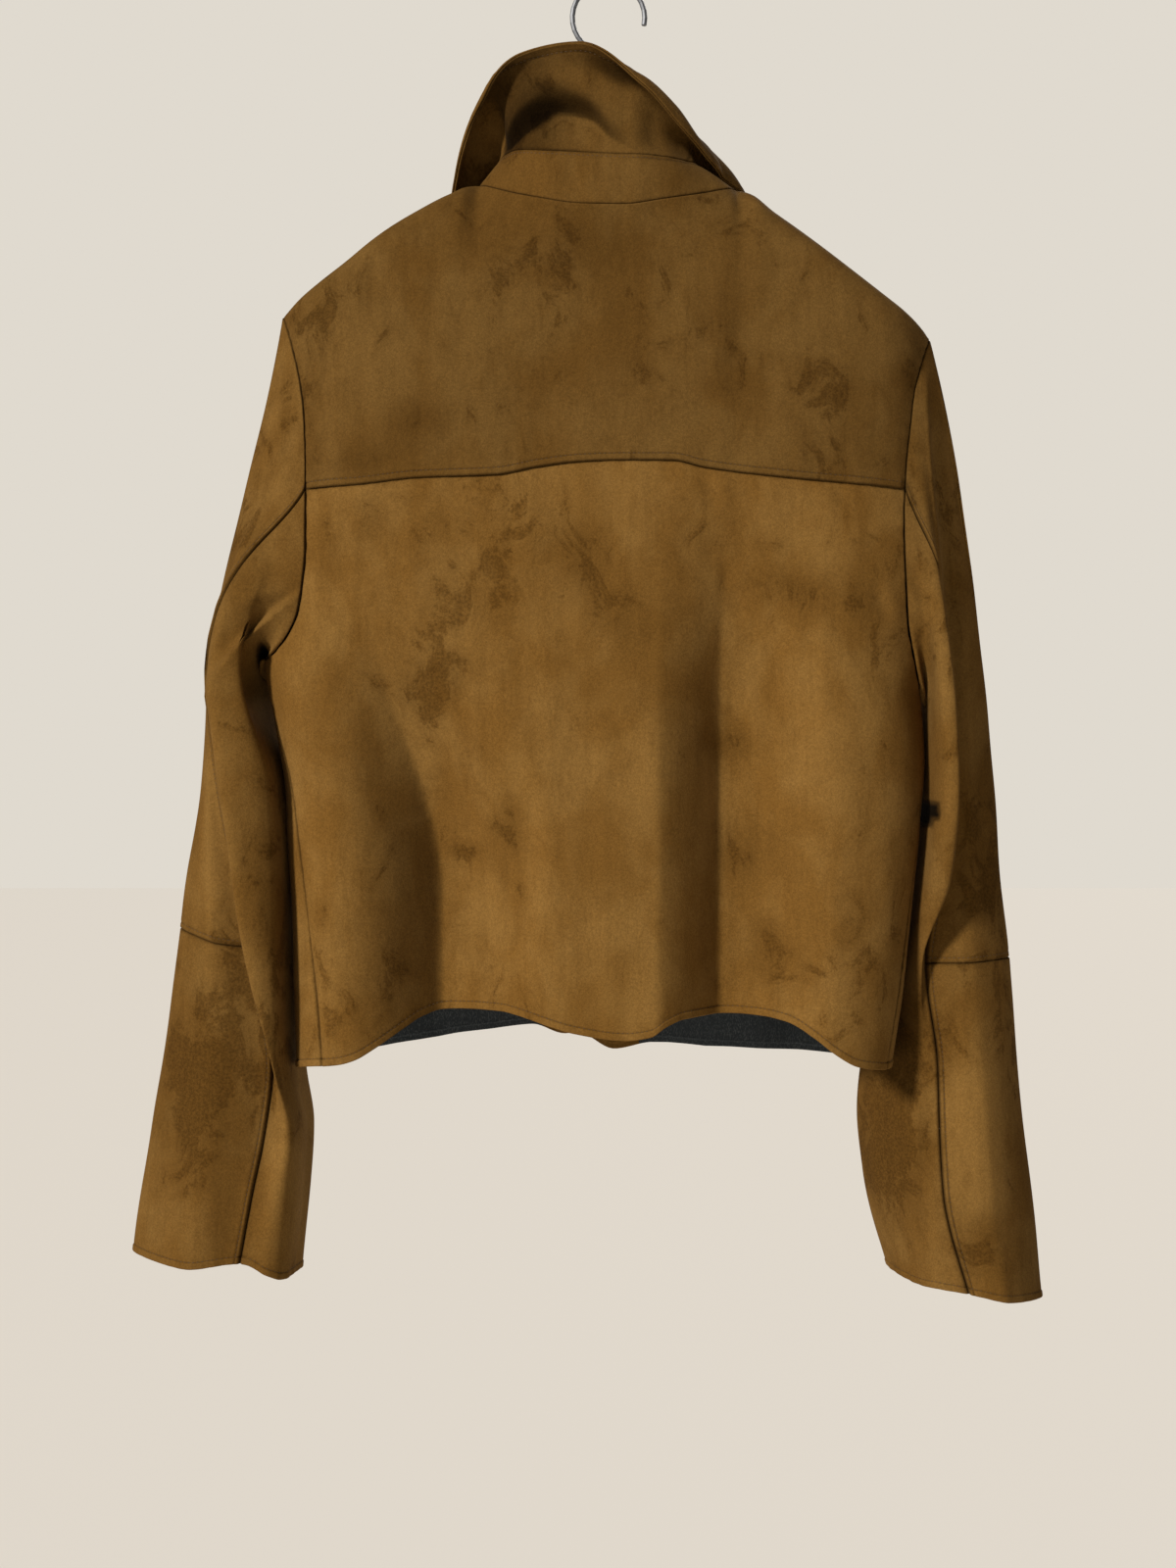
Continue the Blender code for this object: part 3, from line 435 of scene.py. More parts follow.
def frontEdgeX(side, z):
    # a front's inner edge: upright to the throat, then along the neck
    return np.where(z <= body["neckFrontZ"], body["centreX"][side], column(neckLines[side], "x", z))


def frontHeights(side, v):
    # heights of a front's two edges: the side with the armhole, and the centre
    knots = [0, body["yokeShare"], body["neckShare"], 1]
    top = edgeLines[side]["z"][-1]
    neckTop = neckLines[side]["z"][-1]
    centreHem = float(column(frontHem[side], "z", body["centreX"][side], "x"))
    hemZ, third = body["hemZ"][side], body["armholeThird"]
    atSide = np.interp(v, knots, [hemZ, body["yokeZ"], mix(body["yokeZ"], top, third), top])
    atCentre = np.interp(v, knots, [centreHem, body["chestZ"], body["neckFrontZ"], neckTop])
    return atSide, atCentre


def frontSurface(side, u, v):
    # u from the side to the centre, v from the hem to the shoulder: x from the side edge to the
    # centre line, held back beside the side, y the hang less the waves, led to the side edge and
    # the ridge
    edges = edgeLines[side]
    hem = frontHem[side]
    end = 0 if side == "left" else -1
    centreX = body["centreX"][side]
    zSide, zCentre = frontHeights(side, v)
    below = zSide <= body["underarmZ"][side]
    xSide = np.where(below, column(edges, "back_x", zSide), column(edges, "front_x", zSide))
    ySide = np.where(below, column(edges, "back_y", zSide), column(edges, "front_y", zSide))
    hemX = mix(edges["back_x"][0], centreX, u)
    centreHem = float(column(hem, "z", centreX, "x"))
    hemChange = column(hem, "z", hemX, "x") - mix(body["hemZ"][side], centreHem, u)
    shoulderX = mix(shoulderLine["x"][end], neckSeam["x"][end], u)
    shoulderZ = column(shoulderLine, "z", shoulderX, "x")
    topChange = shoulderZ - mix(edges["z"][-1], neckLines[side]["z"][-1], u)
    z = mix(zSide, zCentre, u) + (1 - v) ** 2 * hemChange + v * topChange
    wrap = ease((body["yokeZ"] - zSide) / body["wrapHeight"])
    turn = body["wrapTurn"]
    held = (u - turn * (1 - np.exp(-u / turn))) / (1 - turn * (1 - math.exp(-1 / turn)))
    x = mix(xSide, frontEdgeX(side, zCentre), mix(u, held, wrap))
    at = u / body["swellAt"]
    x = x + sides[side] * column(sideSwell, side, zSide) * at * np.exp(1 - at)
    nearSide = np.exp(-u / mix(*body["frontTurn"], wrap))
    y = column(hang, "front", z) * (1 - body["frontRound"] * (1 - u) ** 2)
    y = y - flutesAt(frontFlutes, x, z) * ease(u / body["wavesFrom"])
    y = mix(y, ySide, nearSide)
    y = y * (1 - meetRidge(ridgeFade(x, column(shoulderLine, "z", x, "x") - z), nearSide))
    return np.stack(np.broadcast_arrays(x, y, z), axis=-1)


# sleeves

# shares go round from the underarm by the back and the outside to the front; a level section has
# eight points
sleeveShares = np.array([0.05, 0.15, 0.25, 0.33, 0.40, 0.46, 0.56, 0.78])
sleevePoints = ("inner", "near", "swell", "ridge", "valley", "back", "outer", "front")
sleeveColumns = "z " + " ".join(f"{name}_x {name}_y" for name in sleevePoints)
sleeveShape = {
    "left": table(
        sleeveColumns,
        (-475, -225.5, 29, -238.5, -10, -237, -29, -258, -29, -264, -12, -266.5, -3, -268, 12, -252, 46),
        (-530, -214, 36, -217, -16, -225, -33, -250, -36, -256, -12, -265, -6, -272, 14, -250, 52),
        (-590, -211, 38, -214, -16, -223, -32, -243, -35, -244, -10, -264, -8, -283, 18, -250, 58),
        (-650, -208, 38, -213, -12, -218, -31, -234, -32, -233, -9, -262, -10, -291, 20, -250, 64),
        (-717, -207.5, 39, -210, -2, -213.5, -18, -218, -25, -221, -11, -262, -14, -301, 23, -252, 70),
        (-760, -202.5, 38, -202.5, 14, -205, -6, -210, -17, -226, -12, -266, -16, -309, 25, -256, 70),
        (-800, -204.5, 37, -204.5, 14, -208, -7, -216, -16, -234, -13, -272, -16, -316, 27, -260, 70),
        (-860, -211, 36, -211, 14, -216, -6, -227, -13, -245, -12, -279, -14, -324, 28, -268, 68),
    ),
    "right": table(
        sleeveColumns,
        (-475, 211.5, 30, 212, -8, 214, -32, 223, -34, 223, -10, 239, -2, 255, 20, 236, 60),
        (-530, 210, 37, 212, -8, 216, -30, 226, -32, 225, -8, 242, 2, 261, 24, 238, 66),
        (-590, 205, 43, 208, -7, 212, -23, 222, -26, 220, -2, 243, 4, 266, 28, 238, 72),
        (-650, 193, 58, 196, 28, 200, 8, 207, -4, 212, 6, 243, 2, 273, 31, 238, 79),
        (-717, 181, 72, 181, 54, 192, 32, 206, 10, 219, 3, 248, -2, 279, 33, 234, 84),
        (-760, 177, 70, 179, 48, 190, 24, 203, 6, 220, 1, 251, -4, 283, 35, 234, 88),
        (-800, 180.5, 68, 182, 46, 195, 20, 208, 4, 222, -1, 254, -5, 288, 35, 236, 88),
        (-880, 201, 62, 202, 42, 212, 18, 223, 3, 242, -2, 266, -4, 296, 35, 250, 82),
    ),
}
sleeve = {
    "ringZ": {"left": -475.0, "right": -490.0},
    "cuffZ": {
        "left": (-858, -858, -857, -852, -845, -848, -846, -856),
        "right": (-865, -866, -867, -866, -868, -873, -879, -876),
    },
    "elbowZ": {"left": (-627.0, -638.0), "right": (-648.0, -650.0)},
    "backSeamShare": (0.27, 0.40),
    "backSeamTurn": 0.78,
    "frontSeamShare": 0.86,
    "shoulderShare": 0.54,
    "leaves": {"left": 0.15, "right": 0.25},
    "underarmLeaves": {"left": 2.2, "right": 0.7},
    "underarmIn": 1.1,
    "underarmWide": 0.02,
    "arriveOver": 8.0,
    "armholePoints": (60, 60, 110),
}


def ringCurve(values, share):
    # closed cubic through the eight points of a section
    count = len(sleeveShares)
    knots = np.concatenate([sleeveShares - 1, sleeveShares, sleeveShares + 1])
    share = np.mod(share, 1.0)
    cell = np.searchsorted(knots, share, side="right") - 1
    span = knots[cell + 1] - knots[cell]
    t = (share - knots[cell]) / span

    def at(i):
        # the value at a knot, counted round and round
        if values.ndim == 1:
            return values[i % count]
        return np.take_along_axis(values, (i % count)[None], axis=0)[0]

    slopeA = (at(cell + 1) - at(cell - 1)) / (knots[cell + 1] - knots[cell - 1])
    slopeB = (at(cell + 2) - at(cell)) / (knots[cell + 2] - knots[cell])
    return cubic(at(cell), span * slopeA, at(cell + 1), span * slopeB, t)


def sleeveSection(side, share, z):
    # the level section at a height: its eight points follow their columns
    rows = sleeveShape[side]
    points = []
    for axis in "xy":
        values = [through(-rows["z"], rows[f"{name}_{axis}"], -z) for name in sleevePoints]
        points.append(ringCurve(np.array(values), share))
    return np.stack([points[0], points[1], z], axis=-1)


def cuffHeight(side, share):
    # height of the cuff's edge round the sleeve
    return ringCurve(np.array(sleeve["cuffZ"][side], float), share)


def sleeveSurface(side, share, level, line):
    # level 0 at the armhole, 1 at the first level ring, 2 at the cuff: a cubic from the armhole's
    # edge to the ring, then level sections
    share, level = np.broadcast_arrays(share, level)
    start = np.stack([np.interp(np.mod(share, 1.0), line[0], line[1][:, i]) for i in range(3)], axis=-1)
    ringZ = np.full(share.shape, sleeve["ringZ"][side])
    ring = sleeveSection(side, share, ringZ)
    span = np.linalg.norm(ring - start, axis=-1)[..., None]
    under = 0.5 + 0.5 * np.cos(2 * math.pi * share)
    outward = sides[side] * mix(sleeve["leaves"][side], sleeve["underarmLeaves"][side], under**2)
    leave = unit(np.stack([outward, 0 * under, 0 * under - 1], axis=-1))
    arrive = unit(sleeveSection(side, share, ringZ - sleeve["arriveOver"]) - ring)
    t = np.clip(level, 0, 1)[..., None]
    high = cubic(start, span * leave, ring, span * arrive, t)
    low = sleeveSection(side, share, mix(ringZ, cuffHeight(side, share), np.clip(level - 1, 0, 1)))
    return np.where(level[..., None] <= 1, high, low)


def backSeamShare(level):
    # the seam at the back of the sleeve eases from its share at the armhole to its share below
    return mix(*sleeve["backSeamShare"], ease(level / sleeve["backSeamTurn"]))


def elbowLevel(side, share):
    # level at which the elbow seam crosses a share of the sleeve
    outer = sleeveShares[sleevePoints.index("outer")]
    seam = sleeve["backSeamShare"][1]
    outside, behind = sleeve["elbowZ"][side]
    height = mix(behind, outside, ease((share - seam) / (outer - seam)))
    ringZ = sleeve["ringZ"][side]
    return 1 + (ringZ - height) / (ringZ - cuffHeight(side, share))


# collar

# the roll line round the neck, then three places up the fall: how far out and how far up from it
collarShape = table(
    "share roll_x roll_y roll_z low_out low_up high_out high_up rim_out rim_up",
    (0.00, -19, 42, -173, 5, 7, 12, -16, 19, -78),
    (0.10, -43, 38, -153, 5, 9, 15, -10, 26, -68),
    (0.20, -65, 23, -132, 3, 12, 19, 4, 40, -36),
    (0.28, -74, 4, -120, -1, 17, 12, 22, 25, -2),
    (0.33, -70, -9, -118, -3, 20, 7, 36, 20, 19),
    (0.38, -62, -24, -119, -4, 22, 5, 42, 16, 37),
    (0.44, -43, -36, -123, -5, 22, 4, 45, 18, 55),
    (0.50, -14, -41, -126, -6, 22, 3, 46, 18, 61.5),
    (0.56, 14, -41, -127, -6, 22, 2, 43, 15, 39),
    (0.62, 36, -33, -126, -6, 19, 2, 31, 11.5, 16.5),
    (0.67, 49, -20, -124, -5, 15, 2.5, 17.5, 12, 3),
    (0.72, 58, -5, -122, -3, 13, 5, 11, 15, -8),
    (0.76, 58, 8, -126, 0, 13, 14, 11, 31, -11),
    (0.82, 48, 24, -135, 3, 12, 24, 6, 48, -30),
    (0.90, 23, 38, -154, 5, 9, 15, -10, 26, -68),
    (1.00, -13, 42, -173, 5, 7, 12, -16, 19, -78),
)
# the fold over the middle of the fall: how high above the roll line, and how far it comes out
fallFold = table(
    "share up out",
    (0.00, 10, 0),
    (0.31, 10, 0),
    (0.36, 8, 6),
    (0.41, 20, 11),
    (0.46, 32, 13),
    (0.50, 29, 12),
    (0.535, 16, 8),
    (0.57, 8, 4),
    (0.61, 6, 0),
    (1.00, 6, 0),
)
collar = {
    "foldReach": 12.0,
    "neckCentre": (0.0, 4.0),
    "neckShares": (0.265, 0.735),
    "standBow": 1.5,
    "fallKnots": (0.0, 0.30, 0.65, 1.0),
}


def rollLine(share):
    # where the fall turns out of the stand, round the neck
    return np.stack([column(collarShape, f"roll_{axis}", share, "share") for axis in "xyz"], axis=-1)


def fallOut(share):
    # level direction away from the middle of the neck
    out = unit(rollLine(share)[..., :2] - np.array(collar["neckCentre"]))
    return np.concatenate([out, np.zeros(out.shape[:-1] + (1,))], axis=-1)


def standSurface(share, up, line):
    # straight from the neck seam to the roll line, bowed out a little
    share, up = np.broadcast_arrays(share, up)
    foot = np.stack([np.interp(share, line[0], line[1][:, i]) for i in range(3)], axis=-1)
    bow = np.sin(math.pi * up) * collar["standBow"]
    return mix(foot, rollLine(share), up[..., None]) + fallOut(share) * bow[..., None]


def fourPoints(knots, values, t):
    # the cubic through four values at four knots
    total = 0
    for i in range(4):
        weight = 1.0
        for j in range(4):
            if j != i:
                weight = weight * (t - knots[j]) / (knots[i] - knots[j])
        total = total + values[i] * weight
    return total


def fallSurface(share, along):
    # roll line plus a cubic out and up through the low, high and rim points; above the fold's
    # height the fall comes out further, and gives that back towards the rim
    share, along = np.broadcast_arrays(share, along)
    zero = np.zeros(share.shape)
    names = ("low", "high", "rim")
    outs = [zero] + [column(collarShape, f"{name}_out", share, "share") for name in names]
    ups = [zero] + [column(collarShape, f"{name}_up", share, "share") for name in names]
    distance = fourPoints(collar["fallKnots"], outs, along)[..., None]
    height = fourPoints(collar["fallKnots"], ups, along)[..., None]
    above = (height[..., 0] - column(fallFold, "up", share, "share")) / collar["foldReach"]
    fold = column(fallFold, "out", share, "share") * (ease(above + 0.5) - ease(along))
    distance = distance + fold[..., None]
    return rollLine(share) + fallOut(share) * distance + np.array([0, 0, 1.0]) * height


# cloth: relief on a surface, and its closed shell


def surfaceNormals(points, flip):
    # square to both grid directions, turned round on a mirrored grid
    normals = unit(np.cross(np.gradient(points, axis=1), np.gradient(points, axis=0)))
    return -normals if flip else normals


def edgeDistances(points):
    # length along the grid lines from each of the four edges
    across = runLength(points, 1)
    along = runLength(points, 0)
    return {
        "first": across,
        "last": across[:, -1:] - across,
        "bottom": along,
        "top": along[-1:] - along,
    }


def rolledIn(distance, radius):
    # a quarter circle: the radius at the edge, nothing from one radius inwards
    t = 1 - np.clip(distance / radius, 0, 1)
    return radius * (1 - np.sqrt(np.maximum(1 - t * t, 0)))


# the uneven waves, creases, folds, dents and marks in the cloth
reliefLook = {
    "puckers": 4,
    "puckerSizes": (0.7, 1.9),
    "swells": 7,
    "swellSizes": (0.7, 1.6),
    "phase": 6.3,
    "creaseEnds": 0.35,
    "foldRise": 4.0,
    "foldEnds": 12.0,
    "foldFacing": 0.3,
    "dentFacing": (0.25, 0.3),
    "markEdge": 1.5,
}
# what stitching and seams do to the cloth; its tones are painted shade in the seams and the stitch grooves
seamLook = {
    "grooveWide": 0.55,
    "grooveDeep": 0.45,
    "grooveShade": 0.55,
    "tone": 0.8,
    "toneWide": 1.3,
    "ridgeRoll": 1.2,
    "hemLift": 0.5,
    "hemWide": 5.5,
    "hemStep": 2.5,
    "creaseRim": 0.55,
    "creaseRimAt": 1.7,
}


def grooveAt(distance, place, width=seamLook["grooveWide"]):
    # a bell curve across a line at one distance from an edge
    return np.exp(-(((distance - place) / width) ** 2))


def paintedSeamShade(distance, tone=seamLook["tone"], wide=seamLook["toneWide"]):
    # painted shade: darkest in the seam, and less so with every width away from it
    return tone * np.exp(-distance / wide)


def hemLift(distance):
    # the turned-up edge stands out a little as far as its stitching
    return seamLook["hemLift"] * ease((seamLook["hemWide"] - distance) / seamLook["hemStep"])


def puckersAlong(run, distance, seed, high=0.3, size=9.0, reach=9.0):
    # uneven little waves along a seam, dying away from it
    rng = np.random.default_rng(seed)
    total = 0
    count = reliefLook["puckers"]
    for _ in range(count):
        length = size * rng.uniform(*reliefLook["puckerSizes"])
        total = total + np.sin(run * 2 * math.pi / length + rng.uniform(0, reliefLook["phase"])) / count
    return high * total * np.exp(-((distance / reach) ** 2))


def billows(points, seed, size):
    # soft uneven swells: a few sines in seeded directions
    rng = np.random.default_rng(seed)
    total = np.zeros(points.shape[:2])
    count = reliefLook["swells"]
    for _ in range(count):
        wave = unit(rng.normal(size=3)) * 2 * math.pi / (size * rng.uniform(*reliefLook["swellSizes"]))
        total = total + np.sin(points @ wave + rng.uniform(0, reliefLook["phase"])) / count
    return total


def creases(points, rows):
    # each crease: a soft trough along a bowed line from one place to another, deepest in its
    # middle, with the cloth raised beside it on one side
    total = np.zeros(points.shape[:2])
    ends = reliefLook["creaseEnds"]
    for i in range(len(rows["x1"])):
        a = np.array([rows["x1"][i], rows["z1"][i]])
        b = np.array([rows["x2"][i], rows["z2"][i]])
        line = b - a
        length = np.linalg.norm(line)
        way = line / length
        flat = points[..., [0, 2]] - a
        run = flat @ way / length
        aside = flat @ np.array([-way[1], way[0]]) - rows["bow"][i] * 4 * run * (1 - run)
        fade = ease(run / ends) * ease((1 - run) / ends)
        t = aside / rows["width"][i]
        rim = seamLook["creaseRim"] * np.exp(-((t - seamLook["creaseRimAt"]) ** 2))
        total = total + rows["depth"][i] * fade * (np.exp(-t * t) - rim)
    return total


def foldLine(points, normals, rows, way):
    # a fold that runs down the cloth: it rises to a sharp line, drops beside it on one side and
    # comes back slowly, only where the cloth faces back
    z = points[..., 2]
    slope = (column(rows, "x", z + 1) - column(rows, "x", z - 1)) / 2
    t = way * (points[..., 0] - column(rows, "x", z)) / np.hypot(1, slope)
    high, low, near, far = (column(rows, name, z) for name in ("high", "low", "near", "far"))
    before = high * np.exp(t / (reliefLook["foldRise"] * near))
    after = (high + low) * np.exp(-np.abs(t) / near) - low * np.exp(-((t / far) ** 2))
    ends = reliefLook["foldEnds"]
    seen = ease(-normals[..., 1] / reliefLook["foldFacing"])
    seen = seen * ease((z - rows["z"][0]) / ends) * ease((rows["z"][-1] - z) / ends)
    return -np.where(t < 0, before, after) * seen


def dents(points, normals, rows):
    # round hollows pressed into the cloth, but not where it faces forward
    total = np.zeros(points.shape[:2])
    for i in range(len(rows["x"])):
        across = (points[..., 0] - rows["x"][i]) / rows["wide"][i]
        along = (points[..., 2] - rows["z"][i]) / rows["high"][i]
        total = total + rows["depth"][i] * np.exp(-((across**2 + along**2) ** 2))
    limit, over = reliefLook["dentFacing"]
    return total * ease((limit - normals[..., 1]) / over)


def napMarksAndPaintedLight(points, rows):
    # soft spots where the nap is rubbed the other way; on the sleeves some spots are painted shade and
    # painted light instead
    total = np.zeros(points.shape[:2])
    for i in range(len(rows["x"])):
        turn = math.radians(rows["turn"][i])
        dx = points[..., 0] - rows["x"][i]
        dz = points[..., 2] - rows["z"][i]
        across = (dx * math.cos(turn) + dz * math.sin(turn)) / rows["wide"][i]
        along = (dz * math.cos(turn) - dx * math.sin(turn)) / rows["high"][i]
        total = total + rows["dark"][i] * np.exp(-(across**2 + along**2) * reliefLook["markEdge"])
    return total


def addPiece(name, vertices, faces, finish, node=None, attributes=None):
    # one mesh object at the origin, in metres, riding on the root
    mesh = bpy.data.meshes.new(name)
    mesh.from_pydata((vertices * mm).tolist(), [], faces)
    for key, values in (attributes or {}).items():
        layer = mesh.attributes.new(key, "FLOAT", "POINT")
        layer.data.foreach_set("value", np.asarray(values, np.float32))
    mesh.materials.append(finish)
    mesh.shade_smooth()
    piece = bpy.data.objects.new(name, mesh)
    bpy.context.scene.collection.objects.link(piece)
    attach(piece, "root")
    if node:
        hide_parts(node)
    return piece


def clothShell(name, node, outer, normals, thickness, finish, flip=False, napAndPaintedLight=None, paintedShade=None):
    # outer grid, inner grid moved in by the thickness, and a half-round rim between their edges
    rows, cols = outer.shape[:2]
    rounds = cloth["rimRounds"]
    inner = outer - normals * thickness
    index = np.arange(rows * cols).reshape(rows, cols)
    near = index.copy()
    near[0], near[-1] = index[1], index[-2]
    near[:, 0], near[:, -1] = near[:, 1], near[:, -2]
    rim = np.concatenate([index[0], index[1:, -1], index[-1, -2::-1], index[-2:0:-1, 0]])
    beside = near.reshape(-1)[rim]
    flat, flatNormals, flatInner = outer.reshape(-1, 3), normals.reshape(-1, 3), inner.reshape(-1, 3)
    outward = flat[rim] - flat[beside]
    outward = unit(outward - (outward * flatNormals[rim]).sum(-1, keepdims=True) * flatNormals[rim])
    middle = (flat[rim] + flatInner[rim]) / 2
    radius = np.linalg.norm(flat[rim] - flatInner[rim], axis=-1, keepdims=True) / 2
    turns = math.pi * np.arange(1, rounds + 1) / (rounds + 1)
    loops = [middle + radius * (math.cos(t) * flatNormals[rim] + math.sin(t) * outward) for t in turns]
    count = rows * cols
    vertices = np.concatenate([flat, flatInner] + loops)
    a, b, c, d = index[:-1, :-1], index[:-1, 1:], index[1:, 1:], index[1:, :-1]
    quads = np.stack([a, b, c, d], axis=-1).reshape(-1, 4)
    rings = [rim] + [2 * count + len(rim) * k + np.arange(len(rim)) for k in range(rounds)] + [rim + count]
    bands = [np.stack([np.roll(a, -1), a, b, np.roll(b, -1)], axis=-1) for a, b in zip(rings, rings[1:])]
    faces = np.concatenate([quads, quads[:, ::-1] + count] + bands)
    if flip:
        faces = faces[:, ::-1]
    values = {}
    for key, layer in (("napAndPaintedLight", napAndPaintedLight), ("paintedShade", paintedShade)):
        layer = np.zeros(count) if layer is None else layer.reshape(-1)
        values[key] = np.concatenate([layer, layer] + [layer[rim]] * rounds)
    return addPiece(name, vertices, faces.tolist(), finish, node, values)


def lineAt(points, distance, place, axis):
    # the points at one distance from an edge, one on each grid line, in a straight line between the
    # two grid points beside it
    if axis == 1:
        points, distance = points.transpose(1, 0, 2), distance.T
    if distance[0].mean() > distance[-1].mean():
        points, distance = points[::-1], distance[::-1]
    cell = np.clip((distance < place).sum(axis=0) - 1, 0, len(distance) - 2)
    pick = np.arange(distance.shape[1])
    low, high = distance[cell, pick], distance[cell + 1, pick]
    t = np.clip((place - low) / np.maximum(high - low, 1e-6), 0, 1)[:, None]
    return mix(points[cell, pick], points[cell + 1, pick], t)


stitch = {
    "length": 2.3,
    "every": 3.1,
    "thick": 0.21,
    "dip": 0.30,
    "jitter": 0.12,
    "rings": 4,
    "sides": 5,
    "ringReach": 0.86,
    "fullness": 0.6,
}


def stitchRow(name, path, normals, seed, every):
    # small spindles of thread end to end along a path, each arched so that its ends dip in
    run = runLength(path, 0)
    count = int(run[-1] / every)
    rng = np.random.default_rng(seed)
    at = (np.arange(count) + 0.5) * every
    spot = np.stack([np.interp(at, run, path[:, i]) for i in range(3)], axis=-1)
    up = unit(np.stack([np.interp(at, run, normals[:, i]) for i in range(3)], axis=-1))
    ahead = np.stack([np.interp(at + 1, run, path[:, i]) for i in range(3)], axis=-1)
    behind = np.stack([np.interp(at - 1, run, path[:, i]) for i in range(3)], axis=-1)
    way = unit(ahead - behind)
    side = unit(np.cross(up, way))
    way = unit(way + side * rng.normal(0, stitch["jitter"], count)[:, None])
    rings, around = stitch["rings"], stitch["sides"]
    t = np.linspace(-stitch["ringReach"], stitch["ringReach"], rings)
    radius = stitch["thick"] * np.sqrt(1 - t**2) ** stitch["fullness"]
    angle = np.linspace(0, 2 * math.pi, around, endpoint=False)
    half = stitch["length"] / 2
    lowered = -stitch["dip"] * t**2
    form = np.stack(
        [
            np.repeat(t * half, around),
            (radius[:, None] * np.cos(angle)).reshape(-1),
            (lowered[:, None] + radius[:, None] * np.sin(angle)).reshape(-1),
        ],
        axis=-1,
    )
    tips = np.array([[-half, 0, -stitch["dip"]], [half, 0, -stitch["dip"]]])
    form = np.concatenate([form, tips])
    frameOf = np.stack([way, np.cross(up, way), up], axis=1)
    vertices = spot[:, None, :] + np.einsum("vk,nkc->nvc", form, frameOf)
    faces = []
    for i in range(rings - 1):
        for j in range(around):
            k = (j + 1) % around
            faces.append((i * around + j, i * around + k, (i + 1) * around + k, (i + 1) * around + j))
    last = rings * around
    for j in range(around):
        k = (j + 1) % around
        faces.append((last, k, j, j))
        faces.append((last + 1, last - around + j, last - around + k, last - around + k))
    each = len(form)
    whole = (np.array(faces)[None] + (np.arange(count) * each)[:, None, None]).reshape(-1, 4)
    whole = [tuple(dict.fromkeys(face)) for face in whole.tolist()]
    return addPiece(name, vertices.reshape(-1, 3), whole, thread)


def stitchesAlong(name, grids, distance, place, axis, seed, keep=slice(4, -4), every=stitch["every"]):
    # a row of stitches at one distance from an edge of a grid and its normals
    path, pathNormals = (lineAt(grid, distance, place, axis)[keep] for grid in grids)
    stitchRow(name, path, pathNormals, seed, every)


# finishes

suedeLook = {
    "light": (0.196, 0.104, 0.0270),
    "mid": (0.150, 0.0730, 0.0155),
    "dark": (0.076, 0.0340, 0.0058),
    "roughness": 0.97,
    "specular": 0.03,
    "sheen": 0.03,
    "sheenRoughness": 0.45,
    "sheenTint": (0.85, 0.62, 0.38, 1.0),
    # noises: stretch along each axis, scale, detail, roughness, distortion
    "drift": ((1.0, 1.0, 0.7), 6.0, 2.0, 0.5, 0.2),
    "cloud": ((1.0, 1.0, 0.75), 22.0, 4.0, 0.55, 0.4),
    "patches": ((1.0, 1.0, 0.7), 40.0, 6.0, 0.68, 0.8),
    "streaks": ((1.0, 1.0, 0.09), 95.0, 3.0, 0.55),
    "strokes": ((1.0, 1.0, 0.16), 210.0, 3.0, 0.6),
    "pebble": ((1.0, 1.0, 1.0), 560.0, 2.0, 0.6),
    "grain": ((1.0, 1.0, 0.8), 1500.0, 2.0, 0.65),
    # from which to which value of its noise each one grows
    "lifted": (0.34, 0.66),
    "haloed": (0.44, 0.62),
    "stroked": (0.50, 0.78),
    "rubbed": (0.555, 0.605),
    "pebbled": (0.32, 0.68),
    # shares of the dark tone, and factors on the tone
    "halo": 0.28,
    "stroke": 0.20,
    "rub": 0.50,
    "patchShare": 0.62,
    "driftShare": 0.38,
    "napLift": -0.12,
    "napShift": 0.085,
    "napTone": 0.12,
    "coarse": (0.91, 0.78),
    "fine": (1.08, 1.18),
    "grainTone": (0.28, 0.72, 0.84, 1.16),
    "streakTone": (0.3, 0.7, 0.95, 1.05),
    # painted shade from the shade attribute: the factor at one, and the further factor at two
    "shadeTone": 0.32,
    "deepShadeTone": 0.06,
    # height of the bump, from grain, pebble and patches, its strength and its reach in metres
    "bump": (0.35, 0.65, 0.6),
    "bumpStrength": 0.5,
    "bumpReach": 0.0005,
}
# tone of each piece's suede, and the shift of its large noises
suedeTones = {
    "suedeBody": (1.0, 0.0),
    "suedeYoke": (0.68, 3.4),
    "suedeSleeve": (0.84, 1.3),
    "suedeCollar": (0.72, 2.1),
}
liningLook = {
    "light": (0.085, 0.095, 0.100),
    "dark": (0.030, 0.036, 0.040),
    "flecks": ((1.0, 1.0, 0.35), 1500.0, 2.0, 0.6),
    "flecked": (0.45, 0.7),
    "soft": ((1.0, 1.0, 1.0), 60.0, 3.0, 0.5),
    "softened": (0.2, 0.8, 0.6, 1.0),
    "bumpStrength": 0.3,
    "bumpReach": 0.0003,
    "roughness": 0.85,
    "specular": 0.2,
}
plainLook = {"detail": (3.0, 0.5), "toned": (0.3, 0.7), "darker": 0.8, "bumpReach": 0.0002}
# colour, roughness, metallic, grain size, grain depth
plainFinishes = {
    "brownThread": ((0.075, 0.038, 0.014), 0.7, 0.0, 3000.0, 0.3),
    "greyWire": ((0.15, 0.155, 0.17), 0.5, 0.5, 300.0, 0.02),
    "blackBar": ((0.018, 0.018, 0.019), 0.42, 0.0, 900.0, 0.25),
}


def newMaterial(name):
    # an empty material, its node tree and its shader
    made = bpy.data.materials.new(name)
    made.use_nodes = True
    return made, made.node_tree, made.node_tree.nodes["Principled BSDF"]


def addNode(tree, kind, **values):
    # one node with its sockets and settings set by name
    made = tree.nodes.new(kind)
    for key, value in values.items():
        if key in made.inputs:
            made.inputs[key].default_value = value
        else:
            setattr(made, key, value)
    return made


